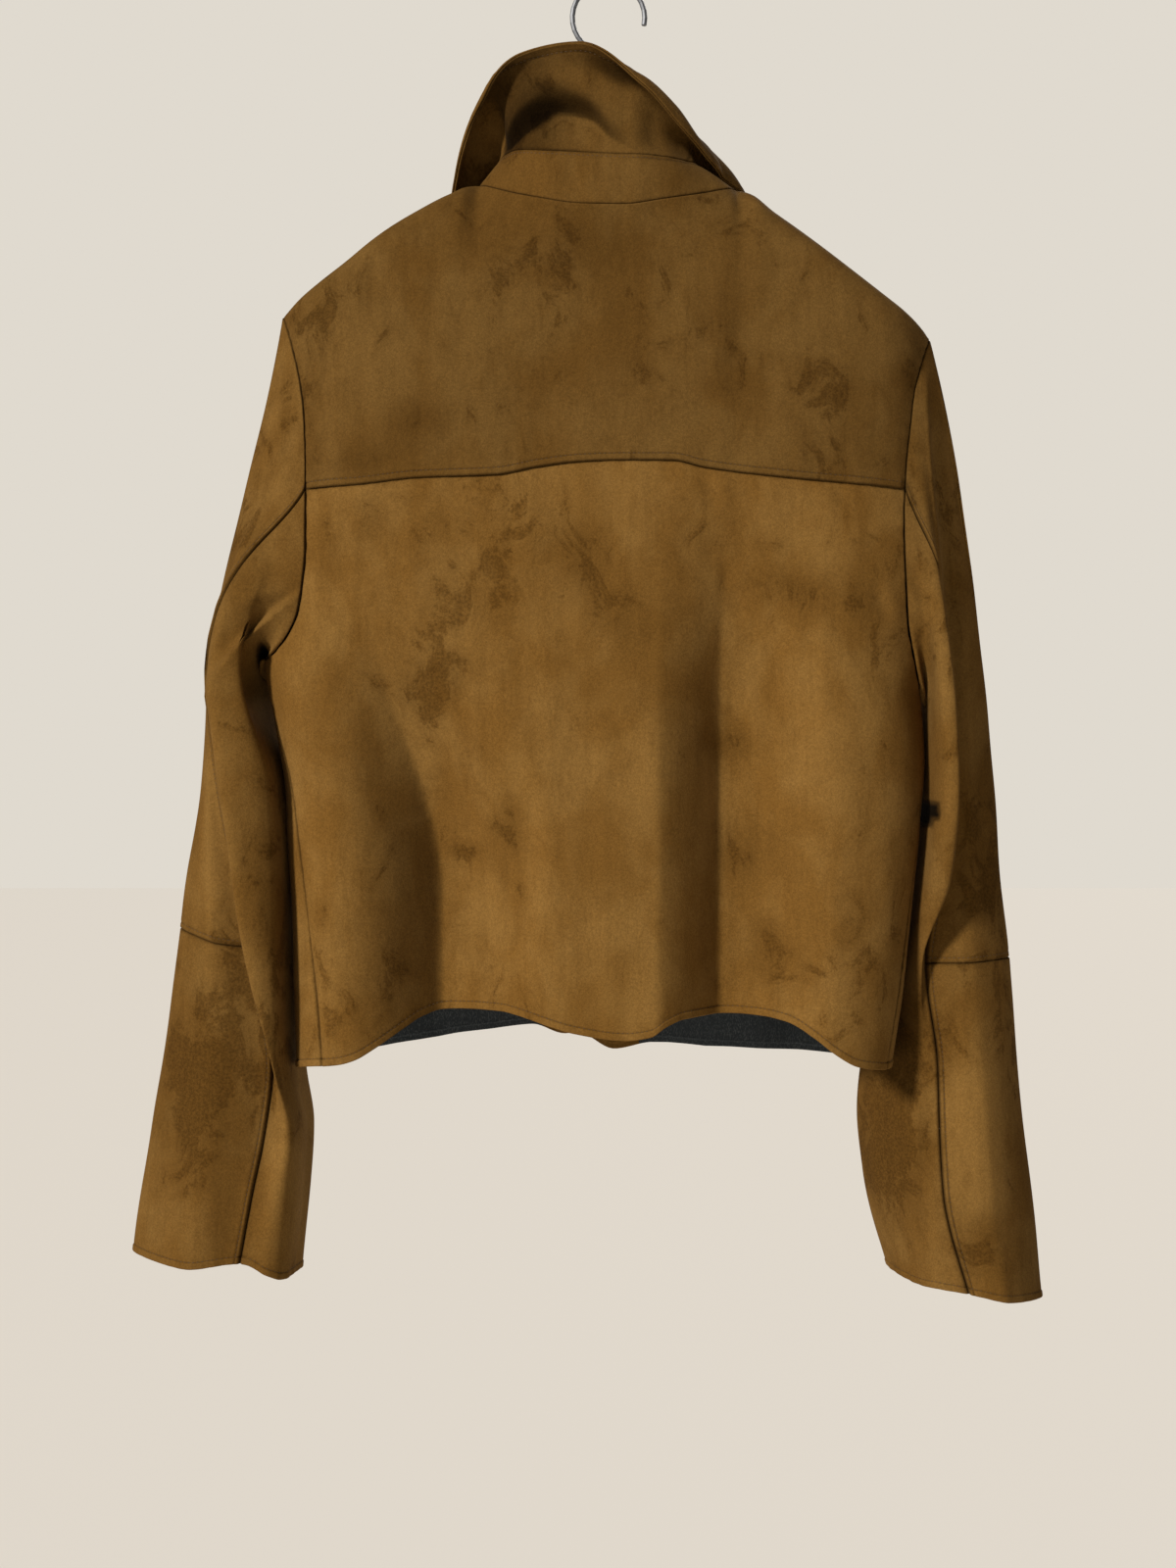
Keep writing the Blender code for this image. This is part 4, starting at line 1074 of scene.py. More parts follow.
def noise(tree, coords, size, scale, detail=3.0, roughness=0.5, distortion=0.0):
    # noise on object coordinates, stretched by size along each axis
    place = addNode(tree, "ShaderNodeMapping")
    place.inputs["Scale"].default_value = size
    tree.links.new(coords, place.inputs["Vector"])
    made = addNode(tree, "ShaderNodeTexNoise", Scale=scale, Detail=detail, Roughness=roughness)
    made.inputs["Distortion"].default_value = distortion
    tree.links.new(place.outputs["Vector"], made.inputs["Vector"])
    return made.outputs["Fac"]


def ramp(tree, value, low, high, a=0.0, b=1.0):
    # a soft step between two values
    made = addNode(tree, "ShaderNodeMapRange", interpolation_type="SMOOTHSTEP")
    made.inputs["From Min"].default_value = low
    made.inputs["From Max"].default_value = high
    made.inputs["To Min"].default_value = a
    made.inputs["To Max"].default_value = b
    tree.links.new(value, made.inputs["Value"])
    return made.outputs["Result"]


def mathOf(tree, kind, a, b):
    # one sum or product of sockets or numbers
    made = addNode(tree, "ShaderNodeMath", operation=kind)
    for socket, value in zip(made.inputs, (a, b)):
        if isinstance(value, float):
            socket.default_value = value
        else:
            tree.links.new(value, socket)
    return made.outputs[0]


def blendColour(tree, share, a, b, kind="MIX"):
    # from colour a to colour b by a share, or their product
    made = addNode(tree, "ShaderNodeMix", data_type="RGBA", blend_type=kind)
    if isinstance(share, float):
        made.inputs["Factor"].default_value = share
    else:
        tree.links.new(share, made.inputs["Factor"])
    for socket, value in ((made.inputs["A"], a), (made.inputs["B"], b)):
        socket = [s for s in made.inputs if s.name == socket.name and s.type == "RGBA"][0]
        if isinstance(value, tuple):
            socket.default_value = (*value, 1.0)
        else:
            tree.links.new(value, socket)
    return [s for s in made.outputs if s.type == "RGBA"][0]


def addBump(tree, shader, height, strength, reach):
    # the height read as relief on the shader's normal
    bump = addNode(tree, "ShaderNodeBump", Strength=strength, Distance=reach)
    tree.links.new(height, bump.inputs["Height"])
    tree.links.new(bump.outputs["Normal"], shader.inputs["Normal"])


def suedeFinish(name, look, tone, shift):
    # brushed nap: soft clouds, upright strokes, rubbed marks with ragged edges, and fine grain, all
    # times a tone; the shift changes the large noises a little from piece to piece
    made, tree, shader = newMaterial(name)
    coords = addNode(tree, "ShaderNodeTexCoord").outputs["Object"]
    napAndPaintedLight = addNode(tree, "ShaderNodeAttribute", attribute_name="napAndPaintedLight").outputs["Fac"]
    paintedShade = addNode(tree, "ShaderNodeAttribute", attribute_name="paintedShade").outputs["Fac"]

    def noiseOf(key, shift=0.0):
        # the noise that the look names, its scale shifted
        stretch, scale, *rest = look[key]
        return noise(tree, coords, stretch, scale + shift, *rest)

    def plus(a, b):
        # the sum of two sockets or numbers
        return mathOf(tree, "ADD", a, b)

    def times(a, b):
        # their product
        return mathOf(tree, "MULTIPLY", a, b)

    drift, cloud, patches = noiseOf("drift", shift), noiseOf("cloud", -shift), noiseOf("patches", shift)
    streaks, strokes, pebble, grain = (noiseOf(key) for key in ("streaks", "strokes", "pebble", "grain"))
    light, mid, dark = (tuple(c * tone for c in look[key]) for key in ("light", "mid", "dark"))
    lifted = ramp(tree, plus(cloud, times(napAndPaintedLight, look["napLift"])), *look["lifted"])
    colour = blendColour(tree, lifted, mid, light)
    level = plus(times(patches, look["patchShare"]), times(drift, look["driftShare"]))
    level = plus(level, times(napAndPaintedLight, look["napShift"]))
    colour = blendColour(tree, times(ramp(tree, level, *look["haloed"]), look["halo"]), colour, dark)
    colour = blendColour(tree, times(ramp(tree, strokes, *look["stroked"]), look["stroke"]), colour, dark)
    rubbed = ramp(tree, level, *look["rubbed"])
    colour = blendColour(tree, times(rubbed, look["rub"]), colour, dark)
    coarse, fine = (
        blendColour(tree, rubbed, (look[key][0],) * 3, (look[key][1],) * 3) for key in ("coarse", "fine")
    )
    pebbled = blendColour(tree, ramp(tree, pebble, *look["pebbled"]), coarse, fine)
    colour = blendColour(tree, 1.0, colour, pebbled, "MULTIPLY")
    # painted shade: the attribute darkens seams, stitch grooves, the flutes' falling sides, the collar's fold
    # and rim, and the sleeves' dents
    seams = ramp(tree, paintedShade, 0.0, 1.0, 1.0, look["shadeTone"])
    hollowShade = ramp(tree, paintedShade, 1.0, 2.0, 1.0, look["deepShadeTone"])
    factor = times(ramp(tree, grain, *look["grainTone"]), times(seams, hollowShade))
    factor = times(factor, ramp(tree, streaks, *look["streakTone"]))
    # the nap-mark attribute also carries the sleeves' painted shade and painted light
    factor = times(factor, ramp(tree, napAndPaintedLight, -1.0, 1.0, 1.0 + look["napTone"], 1.0 - look["napTone"]))
    scale = addNode(tree, "ShaderNodeVectorMath", operation="SCALE")
    tree.links.new(colour, scale.inputs[0])
    tree.links.new(factor, scale.inputs["Scale"])
    tree.links.new(scale.outputs[0], shader.inputs["Base Color"])
    grainHigh, pebbleHigh, patchHigh = look["bump"]
    height = plus(plus(times(grain, grainHigh), times(pebble, pebbleHigh)), times(patches, patchHigh))
    addBump(tree, shader, height, look["bumpStrength"], look["bumpReach"])
    shader.inputs["Roughness"].default_value = look["roughness"]
    shader.inputs["Specular IOR Level"].default_value = look["specular"]
    shader.inputs["Sheen Weight"].default_value = look["sheen"]
    shader.inputs["Sheen Roughness"].default_value = look["sheenRoughness"]
    shader.inputs["Sheen Tint"].default_value = look["sheenTint"]
    return made


def liningFinish(name, look):
    # heather: short pale flecks over a dark ground
    made, tree, shader = newMaterial(name)
    coords = addNode(tree, "ShaderNodeTexCoord").outputs["Object"]
    flecks = noise(tree, coords, *look["flecks"])
    soft = ramp(tree, noise(tree, coords, *look["soft"]), *look["softened"])
    share = mathOf(tree, "MULTIPLY", ramp(tree, flecks, *look["flecked"]), soft)
    tree.links.new(blendColour(tree, share, look["dark"], look["light"]), shader.inputs["Base Color"])
    addBump(tree, shader, flecks, look["bumpStrength"], look["bumpReach"])
    shader.inputs["Roughness"].default_value = look["roughness"]
    shader.inputs["Specular IOR Level"].default_value = look["specular"]
    return made


def plainFinish(name, colour, roughness, metallic, grainSize, grainDepth):
    # one colour with a fine unevenness in tone and height
    made, tree, shader = newMaterial(name)
    coords = addNode(tree, "ShaderNodeTexCoord").outputs["Object"]
    fine = noise(tree, coords, (1.0, 1.0, 1.0), grainSize, *plainLook["detail"])
    darker = tuple(c * plainLook["darker"] for c in colour)
    tint = blendColour(tree, ramp(tree, fine, *plainLook["toned"]), colour, darker)
    tree.links.new(tint, shader.inputs["Base Color"])
    addBump(tree, shader, fine, grainDepth, plainLook["bumpReach"])
    shader.inputs["Roughness"].default_value = roughness
    shader.inputs["Metallic"].default_value = metallic
    return made


suedeBody, suedeYoke, suedeSleeve, suedeCollar = (
    suedeFinish(name, suedeLook, *values) for name, values in suedeTones.items()
)
heather = liningFinish("greyHeather", liningLook)
thread, greyWire, blackBar = (plainFinish(name, *values) for name, values in plainFinishes.items())
print("finishes made")

# back and yoke

backDetail = {
    "step": 2.6,
    "roll": 1.5,
    "hemStitch": 4.1,
    "yokeStitch": 3.6,
    "yokeLift": 1.1,
    "yokeGather": 0.22,
    "yokeShade": (0.5, 0.5),
    # the lap and the sink: the distance at which each ends, and over which it grows
    "lapEnds": (9.0, 6.0),
    "sinkEnds": (2.5, 3.5),
    # and how far from the sides each begins
    "sideFree": (6.0, 5.0),
    "tuck": 5.0,
    "tuckShare": 0.02,
    "sink": 1.25,
    "seamGather": 0.25,
    "sideGather": (0.3, 10.0, 10.0),
    "high": 380,
    "seamShade": 0.9,
    "billow": 0.7,
    "denseRows": 400,
    "measuredAt": 0.3,
}
backCreases = table(
    "x1 z1 x2 z2 width depth bow",
    (59, -329, 68, -361, 5, 1.3, 1),
    (72, -392, 92, -424, 5, 1.2, -2),
    (168, -398, 180, -432, 5, 1.0, 1),
)
backMarks = table(
    "x z wide high turn dark",
    (-14, -187, 48, 24, 0, 0.9),
    (-120, -299, 30, 20, 20, 1.0),
    (-157, -324, 20, 13, 0, 1.0),
    (-154, -362, 16, 20, 0, 0.9),
    (-20, -387, 20, 30, 20, 1.1),
    (11, -430, 24, 30, 10, 1.0),
    (-114, -468, 28, 20, 40, 1.2),
    (-64, -562, 9, 28, 5, 1.2),
    (-95, -574, 13, 8, 0, 1.1),
    (92, -574, 22, 22, 0, 1.4),
    (102, -637, 15, 24, 10, 1.4),
    (77, -505, 22, 15, -10, 1.1),
    (124, -405, 26, 18, -20, 1.0),
    (161, -411, 12, 26, 0, 0.9),
    (76, -236, 11, 48, 0, 0.9),
    (-182, -385, 12, 42, 0, 0.8),
)
# how much painted shade darkens each flute's falling side, the side turned from the light, full from a share
# of the fall on
fluteShadeStrengths = (0.62, 0.16)
fluteFullAt = 0.8


def fluteShade(rows, x, z):
    # painted shade on the falling side: grows with the fall up to the crease, and ends there
    total = 0
    for i in range(len(rows["depth"])):
        grown, at, fall = fluteAt(rows, i, x, z)
        past = ease((at - rows["fall_to"][i]) / (rows["rise_from"][i] - rows["fall_to"][i]))
        total = total + fluteShadeStrengths[i] * np.sqrt(grown) * ease(fall / fluteFullAt) * (1 - past)
    return total


def bodyColumns(step):
    # shares across the back, close at both sides, with the neck's two ends kept
    leftX, rightX = shoulderLine["x"][0], shoulderLine["x"][-1]
    u = closeAtEnds(rightX - leftX, step)
    ends = (neckSeam["x"][[0, -1]] - leftX) / (rightX - leftX)
    for end in ends:
        u[np.abs(u - end).argmin()] = end
    return u


def ridgeNormals(points, normals):
    # within a few millimetres of a shoulder's end the normal is led up and outwards, so that the
    # corner rolls in with the rest
    for end, out in ((0, -ridge["tipOut"]), (-1, ridge["tipOut"])):
        tip = np.array([shoulderLine["x"][end], 0.0, shoulderLine["z"][end]])
        near = np.exp(-(((points - tip) ** 2).sum(axis=-1)) / ridge["tipReach"] ** 2)[..., None]
        normals = mix(normals, np.array([out, 0.0, ridge["tipUp"]]), near)
    return unit(normals)


def makeYoke():
    # from the yoke seam up to the ridge; it laps over the back panel and is stitched along the lap
    u = bodyColumns(backDetail["step"])
    low = heightWhere(u, lambda x: column(yokeSeam, "z", x, "x"))
    high = heightWhere(u, lambda x: topLine(x)[0])
    at = backDetail["measuredAt"]
    dense = 1 - (1 - np.linspace(0, 1, backDetail["denseRows"])) ** 2
    heights = mix(float(np.interp(at, u, low)), float(np.interp(at, u, high)), dense)
    rows = spacedShares(backSurface(np.full(dense.shape, at), heights), dense, backDetail["step"])
    z = mix(low[None, :], high[None, :], rows[:, None])
    points = backSurface(np.broadcast_to(u[None, :], z.shape), z)
    normals = ridgeNormals(points, surfaceNormals(points, False))
    away = edgeDistances(points)
    side = np.minimum(away["first"], away["last"])
    run = runLength(points, 1)
    inward = rolledIn(side, backDetail["roll"]) + rolledIn(away["top"], seamLook["ridgeRoll"])
    ends, over = backDetail["lapEnds"]
    lap = ease((ends - away["bottom"]) / over) * ease(side / backDetail["sideFree"][0])
    inward = inward - backDetail["yokeLift"] * lap
    groove = grooveAt(away["bottom"], backDetail["yokeStitch"])
    inward = inward + seamLook["grooveDeep"] * groove
    inward = inward + puckersAlong(run, away["bottom"], 11, backDetail["yokeGather"], 8, 8)
    inward = inward + puckersAlong(runLength(points, 0), side, 12)
    inward = inward + backDetail["billow"] * billows(points, 5, 70)
    outer = points - normals * inward[..., None]
    napAndPaintedLight = napMarksAndPaintedLight(points, backMarks)
    # painted shade at the sides and along the yoke's lower edge
    paintedShade = paintedSeamShade(side) + paintedSeamShade(away["bottom"], *backDetail["yokeShade"])
    paintedShade = paintedShade + seamLook["grooveShade"] * groove
    piece = clothShell(
        "backYokeCloth", "back_yoke", outer, normals, cloth["outer"], suedeYoke, napAndPaintedLight=napAndPaintedLight, paintedShade=paintedShade
    )
    stitchesAlong("yokeStitches", (outer, normals), away["bottom"], backDetail["yokeStitch"], 0, 21)


def makeBack():
    # from the hem to a tuck under the yoke, where it sinks in below the lap
    u = bodyColumns(backDetail["step"])
    low = heightWhere(u, lambda x: column(backHem, "z", x, "x"))
    seam = heightWhere(u, lambda x: column(yokeSeam, "z", x, "x"))
    tuck = backDetail["tuck"] * ease(np.minimum(u, 1 - u) / backDetail["tuckShare"])
    rows = closeAtEnds(backDetail["high"], backDetail["step"])
    z = mix(low[None, :], (seam + tuck)[None, :], rows[:, None])
    points = backSurface(np.broadcast_to(u[None, :], z.shape), z)
    normals = surfaceNormals(points, False)
    away = edgeDistances(points)
    side = np.minimum(away["first"], away["last"])
    run = runLength(points, 1)
    below = seam[None, :] - z
    inward = rolledIn(side, backDetail["roll"])
    ends, over = backDetail["sinkEnds"]
    sunk = ease((ends - below) / over) * ease(side / backDetail["sideFree"][1])
    inward = inward + backDetail["sink"] * sunk
    inward = inward + puckersAlong(run, np.abs(below), 13, backDetail["seamGather"])
    inward = inward - hemLift(away["bottom"])
    groove = grooveAt(away["bottom"], backDetail["hemStitch"])
    inward = inward + seamLook["grooveDeep"] * groove
    inward = inward + puckersAlong(run, away["bottom"], 14)
    inward = inward + puckersAlong(runLength(points, 0), side, 15, *backDetail["sideGather"])
    inward = inward + backDetail["billow"] * billows(points, 6, 85) + creases(points, backCreases)
    outer = points - normals * inward[..., None]
    napAndPaintedLight = napMarksAndPaintedLight(points, backMarks)
    # painted shade at the sides and under the yoke's lap
    paintedShade = paintedSeamShade(side) + paintedSeamShade(np.maximum(below, 0), backDetail["seamShade"])
    paintedShade = paintedShade + seamLook["grooveShade"] * groove
    # painted shade on the flutes' falling sides
    paintedShade = np.clip(paintedShade + fluteShade(backFlutes, points[..., 0], points[..., 2]), 0, 1)
    piece = clothShell(
        "backPanelCloth", "back_panel", outer, normals, cloth["outer"], suedeBody, napAndPaintedLight=napAndPaintedLight, paintedShade=paintedShade
    )
    stitchesAlong("backHemStitches", (outer, normals), away["bottom"], backDetail["hemStitch"], 0, 22)


makeYoke()
makeBack()
print("back and yoke made")

# fronts, facings and linings

frontDetail = {
    "step": 2.8,
    "roll": 1.5,
    "hemStitch": 4.1,
    "edgeStitch": 4.1,
    "billow": 0.8,
    "wider": 30.0,
    "crowding": 1.3,
    "denseFrom": 0.9,
    "denseRows": (300, 200),
    "measuredAt": 0.5,
    "neckBlend": 0.01,
    "armholeReach": 10.0,
    "closingGather": 0.25,
    "facingRoll": 1.0,
    "facingHidden": 0.012,
    "liningLoose": 0.35,
    "liningAbove": 4.0,
}
frontCreases = {
    "left": table(
        "x1 z1 x2 z2 width depth bow",
        (-196, -360, -150, -420, 8, 1.6, 4),
        (-188, -330, -130, -350, 9, 1.4, -3),
    ),
    "right": table(
        "x1 z1 x2 z2 width depth bow",
        (190, -372, 148, -440, 8, 1.6, -4),
        (184, -338, 130, -372, 9, 1.3, 3),
    ),
}
frontMarks = {
    "left": table("x z wide high turn dark", (-120, -520, 24, 40, 10, 1.0), (-60, -330, 20, 30, -20, 0.9)),
    "right": table("x z wide high turn dark", (110, -470, 24, 44, -10, 1.0), (70, -620, 26, 24, 20, 0.9)),
}


def makeFront(side):
    # from the hem over the shoulder: armhole, ridge and neck rolled in, hem and closing edge stitched
    flip = side == "left"
    title = side.title()
    width = abs(edgeLines[side]["back_x"][0] - body["centreX"][side])
    across = closeAtEnds(width + frontDetail["wider"], frontDetail["step"])
    u = (across + across ** frontDetail["crowding"]) / 2
    start, (below, above) = frontDetail["denseFrom"], frontDetail["denseRows"]
    over = 1 - (1 - np.linspace(0, 1, above)[1:]) ** 2
    dense = np.concatenate([np.linspace(0, start, below), mix(start, 1, over)])
    middle = frontSurface(side, np.full(dense.shape, frontDetail["measuredAt"]), dense)
    v = spacedShares(middle, dense, frontDetail["step"])
    v[np.abs(v - body["neckShare"]).argmin()] = body["neckShare"]
    points = frontSurface(side, u[None, :], v[:, None])
    normals = ridgeNormals(points, surfaceNormals(points, flip))
    away = edgeDistances(points)
    run, down = runLength(points, 1), runLength(points, 0)
    onNeck = ease((v[:, None] - body["neckShare"]) / frontDetail["neckBlend"] + 1)
    inward = rolledIn(away["first"], frontDetail["roll"]) + rolledIn(away["top"], seamLook["ridgeRoll"])
    inward = inward + rolledIn(away["last"], seamLook["ridgeRoll"]) * onNeck
    inward = inward - hemLift(away["bottom"])
    groove = grooveAt(away["bottom"], frontDetail["hemStitch"])
    groove = np.maximum(groove, grooveAt(away["last"], frontDetail["edgeStitch"]) * (1 - onNeck))
    inward = inward + seamLook["grooveDeep"] * groove
    inward = inward + puckersAlong(run, away["bottom"], 31)
    inward = inward + puckersAlong(down, away["first"], 32, reach=frontDetail["armholeReach"])
    inward = inward + puckersAlong(down, away["last"], 33, frontDetail["closingGather"])
    inward = inward + frontDetail["billow"] * billows(points, 7 + flip, 80)
    inward = inward + creases(points, frontCreases[side])
    outer = points - normals * inward[..., None]
    napAndPaintedLight = napMarksAndPaintedLight(points, frontMarks[side])
    paintedShade = paintedSeamShade(away["first"]) + seamLook["grooveShade"] * groove
    piece = clothShell(
        f"front{title}Cloth", f"front_{side}", outer, normals, cloth["outer"], suedeBody, flip,
        napAndPaintedLight=napAndPaintedLight, paintedShade=paintedShade,
    )
    grids = (outer, normals)
    stitchesAlong(f"front{title}HemStitches", grids, away["bottom"], frontDetail["hemStitch"], 0, 34)
    closing = slice(4, int((v <= body["neckShare"]).sum()) - 1)
    stitchesAlong(f"front{title}EdgeStitches", grids, away["last"], frontDetail["edgeStitch"], 1, 35, closing)
    return u, v, points, normals, inward


def makeInside(side, front):
    # facing and lining lie inside the front, on its own points moved in; the facing's outer side
    # edge rolls in, and the lining hangs a little loose
    u, v, points, normals, inward = front
    flip = side == "left"
    title = side.title()
    start = cloth["outer"] + cloth["between"]
    width = abs(edgeLines[side]["back_x"][0] - body["centreX"][side])
    split = int(np.searchsorted(u, 1 - body["facingWidth"][side] / width))
    base = points - normals * (inward + start)[..., None]
    across = runLength(base, 1)[:, split:]
    lift = rolledIn(across - across[:, :1], frontDetail["facingRoll"])
    facing = base[:, split:] - normals[:, split:] * lift[..., None]
    piece = clothShell(
        f"facing{title}Cloth", f"facing_{side}", facing, normals[:, split:], cloth["facing"], suedeBody,
        flip,
    )
    high = frontHeights(side, v)[0] <= body["underarmZ"][side] + frontDetail["liningAbove"]
    lining = base[high][:, : split + 1]
    liningNormals = normals[high][:, : split + 1]
    deeper = frontDetail["liningLoose"] * (billows(lining, 41 + flip, 60) + 1)
    lining = lining - liningNormals * deeper[..., None]
    piece = clothShell(
        f"lining{title}Cloth", f"lining_{side}", lining, liningNormals, cloth["lining"], heather, flip,
    )


fronts = {side: makeFront(side) for side in sides}
for side in sides:
    makeInside(side, fronts[side])
print("fronts made")

# collar

collarDetail = {
    "step": 2.2,
    "standStitch": 2.6,
    "standEvery": 2.9,
    "rimStitch": 4.6,
    "roll": 1.1,
    # lengths for which the grids are spaced: round the stand, up it, round the fall, up it
    "standLong": 430,
    "standHigh": (30, 2.0, (0.0, 0.3, 0.8, 1.6, 2.6)),
    "fallLong": 480,
    "fallHigh": 85,
    "grooveDeep": 0.3,
    "grooveShade": 0.4,
    "standGather": (0.2, 8.0, 6.0),
    "fallGather": (0.22, 8.0, 7.0),
    # widths of the painted seam shade at the stand's foot and at the roll line
    "standTone": 1.1,
    "rollTone": 1.0,
    "billow": 0.5,
    "billowSize": 45.0,
    "billowFrom": 12.0,
    # the shade under the fold: how far below it, and how far it spreads above and below
    "foldBelow": 4.0,
    "foldWide": (11.0, 2.5),
    # the shade under the rim: its distance from the rim, spread, depth, and shares round the neck
    "rimShadeAt": 9.0,
    "rimShadeWide": 8.0,
    "rimShade": 1.3,
    "rimShadeShares": (0.46, 0.56, 0.71, 0.76),
    # the shade where the fall turns away on the left
    "turnedShade": 0.75,
    "turnedShares": (0.30, 0.35, 0.41, 0.52),
    "darkest": 1.7,
}
# how dark the painted shade is under the fall's fold, round the neck
foldDark = table(
    "share dark",
    (0.00, 0.0),
    (0.30, 0.0),
    (0.35, 1.1),
    (0.41, 1.5),
    (0.46, 1.2),
    (0.50, 1.0),
    (0.535, 0.7),
    (0.57, 0.3),
    (0.62, 0.0),
    (1.00, 0.0),
)


def shareByLength(points, ends):
    # from the first share to the last in step with the length along a line
    run = runLength(points, 0)
    return mix(ends[0], ends[1], run / run[-1])


def neckLineOf():
    # the neck edge of both fronts and of the yoke, as one line from front to front
    v = np.linspace(body["neckShare"], 1, 60)
    left = frontSurface("left", np.ones(60), v)
    right = frontSurface("right", np.ones(60), v)[::-1]
    x = np.linspace(neckSeam["x"][0], neckSeam["x"][-1], 90)
    back = np.stack([x, column(neckSeam, "y", x, "x"), column(neckSeam, "z", x, "x")], axis=-1)
    low, high = collar["neckShares"]
    shares = [shareByLength(left, (0, low)), shareByLength(back, (low, high))[1:-1]]
    shares.append(shareByLength(right, (high, 1)))
    return np.concatenate(shares), np.concatenate([left, back[1:-1], right])


def fallShade(points, share, fromRim):
    # how far painted shade darkens the colour: a band under the fold, one under the rim, and the turned left
    # side
    height = points[..., 2] - rollLine(share)[..., 2]
    above = height - column(fallFold, "up", share, "share") + collarDetail["foldBelow"]
    wide = np.where(above > 0, *collarDetail["foldWide"])
    fold = column(foldDark, "dark", share, "share") * np.exp(-((above / wide) ** 2))
    rim = grooveAt(fromRim, collarDetail["rimShadeAt"], collarDetail["rimShadeWide"])
    rim = collarDetail["rimShade"] * plateau(share, *collarDetail["rimShadeShares"]) * rim
    return fold + rim + collarDetail["turnedShade"] * plateau(share, *collarDetail["turnedShares"])


def makeStand():
    # the strip between the neck seam and the roll line, with both edges rolled in
    line = neckLineOf()
    share = closeAtEnds(collarDetail["standLong"], collarDetail["step"])
    up = closeAtEnds(*collarDetail["standHigh"])
    points = standSurface(share[None, :], up[:, None], line)
    normals = surfaceNormals(points, False)
    away = edgeDistances(points)
    nearest = np.minimum(away["bottom"], away["top"])
    inward = rolledIn(away["bottom"], collarDetail["roll"]) + rolledIn(away["top"], collarDetail["roll"])
    inward = inward + puckersAlong(runLength(points, 1), nearest, 51, *collarDetail["standGather"])
    groove = grooveAt(away["top"], collarDetail["standStitch"])
    inward = inward + collarDetail["grooveDeep"] * groove
    outer = points - normals * inward[..., None]
    paintedShade = paintedSeamShade(away["bottom"], wide=collarDetail["standTone"])
    paintedShade = paintedShade + paintedSeamShade(away["top"], wide=collarDetail["rollTone"])
    paintedShade = paintedShade + collarDetail["grooveShade"] * groove
    piece = clothShell(
        "collarStandCloth", "collar_stand", outer, normals, cloth["stand"], suedeCollar, paintedShade=paintedShade
    )
    stitchesAlong(
        "standStitches", (outer, normals), away["top"], collarDetail["standStitch"], 0, 52,
        every=collarDetail["standEvery"],
    )


def makeFall():
    # the undercollar from the roll line to the rim, and the top collar against its other side
    share = closeAtEnds(collarDetail["fallLong"], collarDetail["step"])
    along = closeAtEnds(collarDetail["fallHigh"], collarDetail["step"])
    points = fallSurface(share[None, :], along[:, None])
    normals = surfaceNormals(points, False)
    away = edgeDistances(points)
    ends = np.minimum(away["first"], away["last"])
    inward = rolledIn(away["bottom"], collarDetail["roll"])
    run = runLength(points, 1)
    inward = inward + puckersAlong(run, away["bottom"], 53, *collarDetail["fallGather"])
    groove = grooveAt(np.minimum(away["top"], ends), collarDetail["rimStitch"])
    inward = inward + collarDetail["grooveDeep"] * groove
    free = ease(away["bottom"] / collarDetail["billowFrom"])
    inward = inward + collarDetail["billow"] * billows(points, 54, collarDetail["billowSize"]) * free
    outer = points - normals * inward[..., None]
    paintedShade = paintedSeamShade(away["bottom"], wide=collarDetail["rollTone"])
    paintedShade = paintedShade + collarDetail["grooveShade"] * groove
    paintedShade = paintedShade + fallShade(points, np.broadcast_to(share[None, :], paintedShade.shape), away["top"])
    piece = clothShell(
        "undercollarCloth", "undercollar", outer, normals, cloth["collar"], suedeCollar,
        paintedShade=np.clip(paintedShade, 0, collarDetail["darkest"]),
    )
    stitchesAlong("rimStitches", (outer, normals), away["top"], collarDetail["rimStitch"], 0, 55)
    inner = outer - normals * (cloth["collar"] + cloth["between"])
    piece = clothShell("topCollarCloth", "top_collar", inner, normals, cloth["collar"], suedeCollar)


makeStand()
makeFall()
print("collar made")

# sleeves

sleeveDetail = {
    "step": 2.5,
    "roll": 1.3,
    "backRoll": 2.2,
    "cuffStitch": 4.1,
    "seamStitch": 3.6,
    "billow": 0.7,
    "billowSize": 55.0,
    # the lap over the seam and the tuck under it: depth, the distance at which each ends, and over
    # which it grows
    "lap": 0.8,
    "lapEnds": (8.0, 6.0),
    "lapEdge": 1.5,
    "tuck": 1.0,
    "tuckEnds": (2.5, 3.5),
    "sideGather": (0.14, 13.0, 8.0),
    "backShade": (0.9, 1.6),
    # painted shade in a dent, from and over which depth
    "deep": 2.0,
    "deepFrom": 2.0,
    "deepOver": 6.0,
    # where along a row the columns lie on the shoulder's and on the underarm's line
    "shoulderAt": 0.38,
    "underarmAt": 0.30,
    # lengths for which the grids are spaced: round, upper sleeve, forearm, undersleeve
    "round": 190,
    "upper": 240,
    "lower": 230,
    "whole": 520,
}
